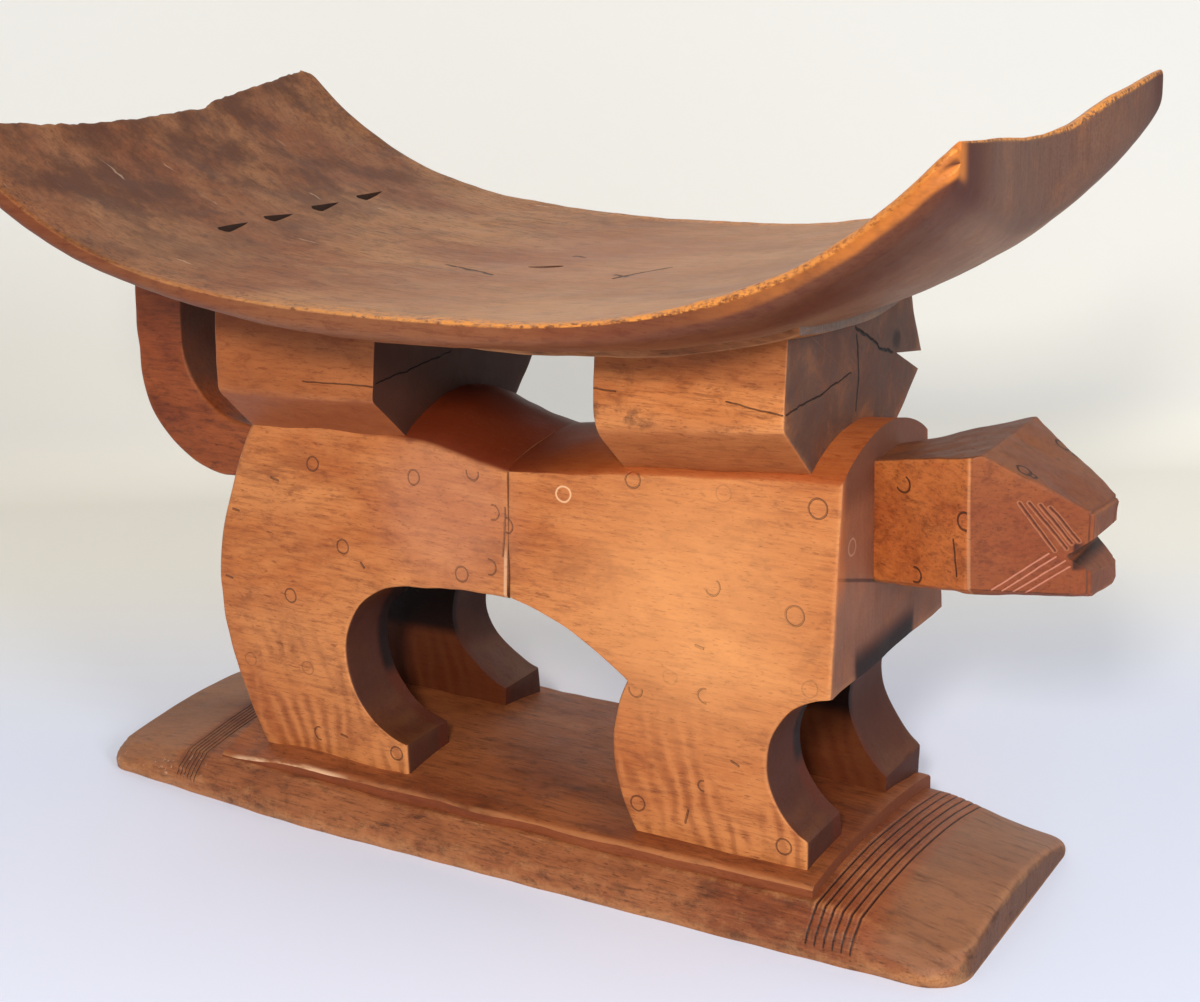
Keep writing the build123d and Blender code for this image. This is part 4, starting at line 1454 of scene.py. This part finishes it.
def seat_loops():
    """Loops across the board: dished top, worn rim, hull and rim, and the ends folded shut.

    Along X a loop lies at share u of the way from the middle to the end, which is not straight:
    it is hollow, and broken back where a strip of the rim has worn away. Depths are measured
    down from the long edges' height; the hull's grow with the slope.
    """
    body = np.sin(np.linspace(-1, 1, 230) * 1.445)
    tip = np.linspace(flat_reach, 1, 12)[1:]
    u = np.concatenate([-tip[::-1], body / body[-1] * flat_reach, tip])[:, None]
    line = seat_middle + u * seat_reach
    half = seat_half + 0.00365 * (1 - u**2) - 0.006 * u
    stretch = np.hypot(1, np.gradient(seat_height(line[:, 0]), line[:, 0]))[:, None]
    lip = soft_line(lip_depth, line, 0.02)
    keel = (keel_depth - 0.003 * u**2) * stretch
    worn = 0.0028 + 0.0045 * smooth_step(line, 0.12, 0.26)

    def hull(share):
        return keel - (keel - lip) * share**2

    flat = np.linspace(-rim_share, rim_share, 115)
    turn = np.linspace(0, np.pi / 2, 8)
    bend = np.linspace(0, 1, 12)[1:-1]
    rim_y = [half - worn * (1 - np.sin(turn)), half + 0 * bend]
    rim_depth = [worn * (1 - np.cos(turn)), worn + (0.5 * lip - worn) * bend]
    rim_y.append((1 - bend**2) * half + bend**2 * rim_share * half)
    low = (1 - bend) ** 2 * 0.5 * lip + 2 * bend * (1 - bend) * lip + bend**2 * hull(rim_share)
    rim = np.concatenate(rim_y, axis=1) / half
    rim_depth = np.concatenate([*rim_depth, low], axis=1)

    def run(share, depth):
        share = share + 0 * depth
        dish = dish_depth * (1 - share**2) * (depth < worn + 1e-6)
        width = np.where(u < 0, tail_width, head_width)
        worn_corner = np.where(u < 0, 0.009, 0.026) * (share > 0) + 0.006 * (share <= 0)
        corner = inside_corner((np.abs(share) - 1) * width + worn_corner, worn_corner)
        head = soft_line(seat_head_end, share * width, 0.007) - corner
        ragged = np.stack([0 * share * width, share * width, 0 * share * width], axis=-1)
        chewed = np.abs(wander(ragged, 0.022, 82)) * 0.0010
        chewed = chewed + np.abs(wander(ragged, 0.009, 83)) * 0.0005
        tail = soft_line(seat_tail_end, share * width, 0.003) + corner + chewed - 0.0005
        x = seat_middle + np.abs(u) * (np.where(u < 0, tail, head) - seat_middle)
        return np.stack([x, share * half, seat_height(x) - depth - dish], axis=-1)

    upper, lower = run(flat, 0 * half), run(flat, hull(flat))
    grid = board_loops(upper, run(rim, rim_depth), lower, run(-rim, rim_depth))
    grid = hewn(grid, seed=81, depth=0.0005)
    caps = [folded_end(grid[k], len(flat), end_rings) for k in (0, -1)]
    grid = np.concatenate([caps[0][::-1], grid, caps[1]])
    side = np.concatenate([flat, rim[-1], flat[::-1], -rim[-1][::-1]])
    under = np.arange(len(side)) >= len(flat) + len(rim[-1])
    rows = np.arange(len(grid))
    near_end = np.clip(1.6 - np.abs(rows - end_rings - 1) / 9, 0, 1)[:, None]
    tail_weight = near_end * (0.06 + 0.6 * under)
    head_rows = near_end[::-1]
    head_weight = head_rows * np.where(under, 0.8, 0.10 + 0.5 * smooth_step(side, -0.05, 0.2))
    return eased(grid, np.clip(tail_weight + head_weight, 0, 0.9), 36)


hole_row_x, hole_length, hole_width = -0.1915, 0.0240, 0.0088
hole_places = (-0.0490, -0.0100, 0.0330, 0.0760)
slot_x, slot_y, slot_turn = -0.016, 0.004, 0.29
slot_half_length, slot_half_width = 0.0105, 0.0030
slot_top, slot_depth = 0.3205, 0.008


def teardrop_cutter(y):
    """Loops along Z of one hole: a drop, blunt toward -Y and pointed toward +Y, one side flat."""
    along = np.linspace(0, 1, 26)
    width = hole_width * np.sqrt(np.clip(along / 0.10, 0, 1)) * (1 - along) ** 0.75
    hole_x = hole_row_x + np.concatenate([0.62 * width, -0.38 * width[-2:0:-1]])
    hole_y = y - 0.0105 + hole_length * np.concatenate([along, along[-2:0:-1]])
    z = np.linspace(0.27, 0.40, 20)[:, None]
    return np.stack([hole_x + 0 * z, hole_y + 0 * z, z + 0 * hole_x], axis=-1)


def slot_cutter():
    """Loops along Z of the short slot in the middle of the seat: an ellipse that closes below."""
    turn = np.linspace(0, 2 * np.pi, 33)[:-1]
    depth = np.linspace(0, 1, 12)[:-1, None]
    size = np.sqrt(1 - depth**2)
    along, across = slot_half_length * np.cos(turn) * size, slot_half_width * np.sin(turn) * size
    x = slot_x + along * np.cos(slot_turn) - across * np.sin(slot_turn)
    y = slot_y + along * np.sin(slot_turn) + across * np.cos(slot_turn)
    return np.stack([x, y, slot_top - slot_depth * depth + 0 * x], axis=-1)


seat_finish, body, roughness, height = wood(
    "seat_wood",
    light="B57D4E",
    middle="92542C",
    dark="4A2412",
    end="6B4C3E",
    rubbed="DE9448",
    shift=0.8,
    wear=0.08,
)
rim_edge = seat_finish.node("ShaderNodeAttribute", {"attribute_name": "edge"}, output="Fac")
crumbs = seat_finish.noise(seat_finish.flattened(0.6, 1, 1, 0), 420.0, 4.0, 0.75)
plan = seat_finish.flattened(1, 1, 0, 0.0022)
seat_x, seat_y = seat_finish.parts(seat_finish.place())[:2]
seat_up = seat_finish.parts(seat_finish.facing())[2]
seat_cracks = seat_finish.nearest(
    [
        seat_finish.line(plan, (*start, 0), (*end, 0))
        for start, end in (
            ((0.0400, -0.0170), (0.0470, 0.0030)),
            ((0.0470, 0.0030), (0.0550, 0.0170)),
            ((-0.0670, -0.0170), (-0.0300, -0.0290)),
            ((-0.0160, 0.0340), (-0.0080, 0.0320)),
            ((0.0360, -0.0080), (0.0440, -0.0120)),
        )
    ]
)
seat_ink = seat_cracks.ramp(0.0016, 0.0003) * seat_up.ramp(0.5, 0.8)
tail_dark = seat_x.ramp(-0.10, -0.25) * seat_up.ramp(0.3, 0.7)
clouds = seat_finish.noise(seat_finish.flattened(0.7, 1, 1, 0), 26.0, 5.0, 0.7)
reddened = seat_x.ramp(-0.10, -0.02) * seat_x.ramp(0.10, 0.02) * abs(seat_y - 0.03).ramp(0.10, 0.03)
# Painted shade on the walls of the teardrop holes.
hole = seat_up.ramp(0.8, 0.4) * abs(seat_x - hole_row_x).ramp(0.010, 0.007)
# Painted shade inside the slot.
slot_shade = abs(seat_x - slot_x).ramp(0.0125, 0.011) * abs(seat_y - slot_y).ramp(0.006, 0.005)
slot_shade = slot_shade * seat_up.ramp(0.97, 0.7)
# Painted sheen: the top grows paler toward the head end.
painted_head_sheen = seat_x.ramp(-0.12, 0.10) * seat_up.ramp(0.6, 0.9)
lip_red = abs(seat_y).ramp(0.070, 0.125) * seat_up.ramp(0.55, 0.2)
lip_red = lip_red * (0.68 + seat_x.ramp(0.05, 0.18) * 0.17)
lip_colour = seat_finish.blend(seat_x.ramp(0.06, 0.20), colour("642810"), colour("48180A"))
# Painted bounce light: the underside toward the head greyed by light thrown up from the floor.
floor_bounce_grey = seat_up.ramp(-0.2, -0.6) * seat_x.ramp(0.05, 0.2) * abs(seat_y).ramp(0.13, 0.08)
bright = abs(seat_y).ramp(0.1375, 0.1455) * seat_up.ramp(0.30, 0.62)
head_rim = rim_edge.ramp(0.03, 0.16) * seat_up.ramp(0.1, 0.3) * seat_x.ramp(0.0, 0.1)
bright = bright.most(head_rim)
bright = bright * (0.12 + seat_x.ramp(-0.13, 0.06) * 0.88) * crumbs.ramp(0.43, 0.55)
corner_glow = seat_x.ramp(0.12, 0.27) * seat_y.ramp(-0.124, -0.134)
corner_glow = corner_glow * seat_up.ramp(-0.35, -0.05) * (0.35 + clouds.ramp(0.38, 0.60) * 0.65)
dark_crumbs = crumbs.ramp(0.44, 0.34) * abs(seat_y).ramp(0.137, 0.146) * seat_up.ramp(0.05, 0.4)
scratches = seat_finish.noise(seat_finish.flattened(0.10, 1, 0, 0.003), 210.0, 2.0, 0.6)
scratch = scratches.ramp(0.70, 0.74) * seat_up.ramp(0.6, 0.9)
body = seat_finish.tinted(
    body,
    (tail_dark * clouds.ramp(0.64, 0.38) * 0.9, "4A2612"),
    (tail_dark * 0.30, "5E3018"),
    (clouds.ramp(0.54, 0.70) * seat_up.ramp(0.3, 0.7) * 0.35, "5A3520"),
    (reddened * seat_up.ramp(0.6, 0.9) * 0.30, "9A5A42"),
    (hole * abs(seat_y).ramp(0.10, 0.09) * 0.85, "1A0D08"),
    (slot_shade * 0.8, "3A1C10"),
    (painted_head_sheen * 0.36, "DCA880"),
    (lip_red, lip_colour),
    (floor_bounce_grey * 0.60, "6E5040"),
    (corner_glow * 0.80, "D0782C"),
    (bright * 0.85, "E09040"),
    (dark_crumbs * 0.7, "4A1C0C"),
    (scratch * 0.35, "E2C4A4"),
    (seat_ink * 0.85, "301A12"),
)
height = height - seat_ink * 3.0
seat_material = seat_finish.finish(body, roughness, height, 0.0004)
seat_holes = [carved_mesh("seat_hole", teardrop_cutter(y)) for y in hole_places]
seat_holes.append(carved_mesh("seat_slot", slot_cutter()))
finished_piece(
    "seat",
    cut_away(sewn_mesh("seat", seat_loops()), seat_holes),
    seat_material,
    ["seat"],
)

# ---------------------------------------------------------------------------------------------
# Dowels. Plain round hardwood pins, hidden in the wood, that hold the halves of the body, the
# head, tail, feet, blocks and seat together. Their shapes are those of the CAD.

dowel_finish, body, roughness, height = wood(
    "dowel_wood",
    light="C99A6B",
    middle="B3804F",
    dark="8A5C36",
    end="9A6C44",
    rubbed="C99A6B",
)
dowel_material = dowel_finish.finish(body, roughness, height, 0.0003)
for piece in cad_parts.values():
    piece.data.materials.clear()
    piece.data.materials.append(dowel_material)

# ---------------------------------------------------------------------------------------------
# Room and camera. The stool stands on a pale sheet of card that turns up behind it into a wall
# and can be seen through from its back. A small warm lamp stands in front of it, a broad cool
# window to the head's side.

camera_azimuth, camera_pitch, camera_roll = np.radians([31.77, 17.44, -1.83])
camera_place = np.array([0.54674, -0.85622, 0.50674])
lens_length, film_width = 57.22, 36.0
sheet_front, sheet_half_width = 4.0, 6.0
wall_back, wall_height, wall_bend = 0.72, 3.2, 0.09
lamp_target = (0, 0, 0.2)

straight_up = np.array([0, 0, 1.0])
level_ahead = np.array([-np.sin(camera_azimuth), np.cos(camera_azimuth), 0])
ahead = level_ahead * np.cos(camera_pitch) - straight_up * np.sin(camera_pitch)
aside = np.array([np.cos(camera_azimuth), np.sin(camera_azimuth), 0])
upward = np.cross(aside, ahead)
turned_aside = aside * np.cos(camera_roll) + upward * np.sin(camera_roll)
turned_up = upward * np.cos(camera_roll) - aside * np.sin(camera_roll)

floor_finish = Finish("pale_floor")
floor_place = floor_finish.place()
above = floor_finish.parts(floor_place)[2]
backward = floor_finish.vector("DOT_PRODUCT", floor_place, tuple(level_ahead), output=1)
cloudy = floor_finish.noise(floor_place, 0.6, 1.0).ramp(0.3, 0.7)
floor_shade = floor_finish.blend(cloudy, colour("E2E8F8"), colour("E9EFFE"))
# Painted bounce light: the floor warms toward the wall, as if lit by light thrown back from it.
floor_shade = floor_finish.tinted(
    floor_shade,
    (backward.ramp(0.05, 0.5), "FAF6EA"),
    (above.ramp(0.01, 0.06), "F0EEE6"),
)
from_behind = floor_finish.node("ShaderNodeNewGeometry", output="Backfacing")
floor_finish.feed(floor_finish.shader.inputs["Base Color"], floor_shade)
floor_finish.feed(floor_finish.shader.inputs["Alpha"], 1.0 - from_behind)
floor_finish.shader.inputs["Roughness"].default_value = 0.75
floor_finish.shader.inputs["Specular IOR Level"].default_value = 0.2


def floor_sheet():
    """Points of the sheet: along the floor, up a quarter circle and up the wall, two to a row."""
    turn = np.linspace(0, np.pi / 2, 24)
    run = [[-sheet_front], wall_back - wall_bend * (1 - np.sin(turn)), [wall_back]]
    rise = [[0.0], wall_bend * (1 - np.cos(turn)), [wall_height]]
    run, rise = np.concatenate(run)[:, None, None], np.concatenate(rise)[:, None, None]
    width = np.array([-sheet_half_width, sheet_half_width])[None, :, None]
    return run * level_ahead + width * aside + rise * straight_up


sheet = floor_sheet()
cells = 2 * np.arange(len(sheet) - 1)
floor_faces = np.stack([cells, cells + 1, cells + 3, cells + 2], axis=-1)
floor_mesh = bpy.data.meshes.new("floor")
floor_mesh.from_pydata(sheet.reshape(-1, 3).tolist(), [], floor_faces.tolist())
floor_mesh.update()
floor_mesh.polygons.foreach_set("use_smooth", np.ones(len(floor_mesh.polygons), bool))
floor_mesh.materials.append(floor_finish.material)
floor = bpy.data.objects.new("floor", floor_mesh)
bpy.context.collection.objects.link(floor)


def stand(name, data, aside, upward, backward, place):
    """Put a camera or lamp at a place, looking away from backward with upward at its top."""
    piece = bpy.data.objects.new(name, data)
    rows = [(aside[k], upward[k], backward[k], place[k]) for k in range(3)]
    piece.matrix_world = Matrix((*rows, (0, 0, 0, 1)))
    bpy.context.collection.objects.link(piece)
    return piece


def lamp(name, place, size, power, tint):
    """A square lamp that faces the stool's middle."""
    data = bpy.data.lights.new(name, "AREA")
    data.size = size
    data.energy = power
    data.color = tint
    back = np.array(place) - np.array(lamp_target)
    back = back / np.linalg.norm(back)
    side = np.cross(straight_up, back)
    side = side / np.linalg.norm(side)
    stand(name, data, side, np.cross(back, side), back, place)


camera_data = bpy.data.cameras.new("camera")
camera_data.lens = lens_length
camera_data.sensor_width = film_width
camera_data.sensor_fit = "HORIZONTAL"
camera_data.clip_start = 0.01
camera = stand("camera", camera_data, turned_aside, turned_up, -ahead, camera_place)
bpy.context.scene.camera = camera
lamp("key_lamp", place=(0.58, -1.30, 0.90), size=0.20, power=16.0, tint=(1.0, 0.95, 0.88))
lamp("window", place=(2.5, -0.85, 1.25), size=0.9, power=28.0, tint=(0.88, 0.94, 1.0))
world = bpy.data.worlds.new("room")
world.use_nodes = True
room_light = world.node_tree.nodes["Background"].inputs
room_light["Color"].default_value = (0.93, 0.94, 1.0, 1.0)
room_light["Strength"].default_value = 0.50
bpy.context.scene.world = world
bpy.context.scene.view_settings.view_transform = "Standard"
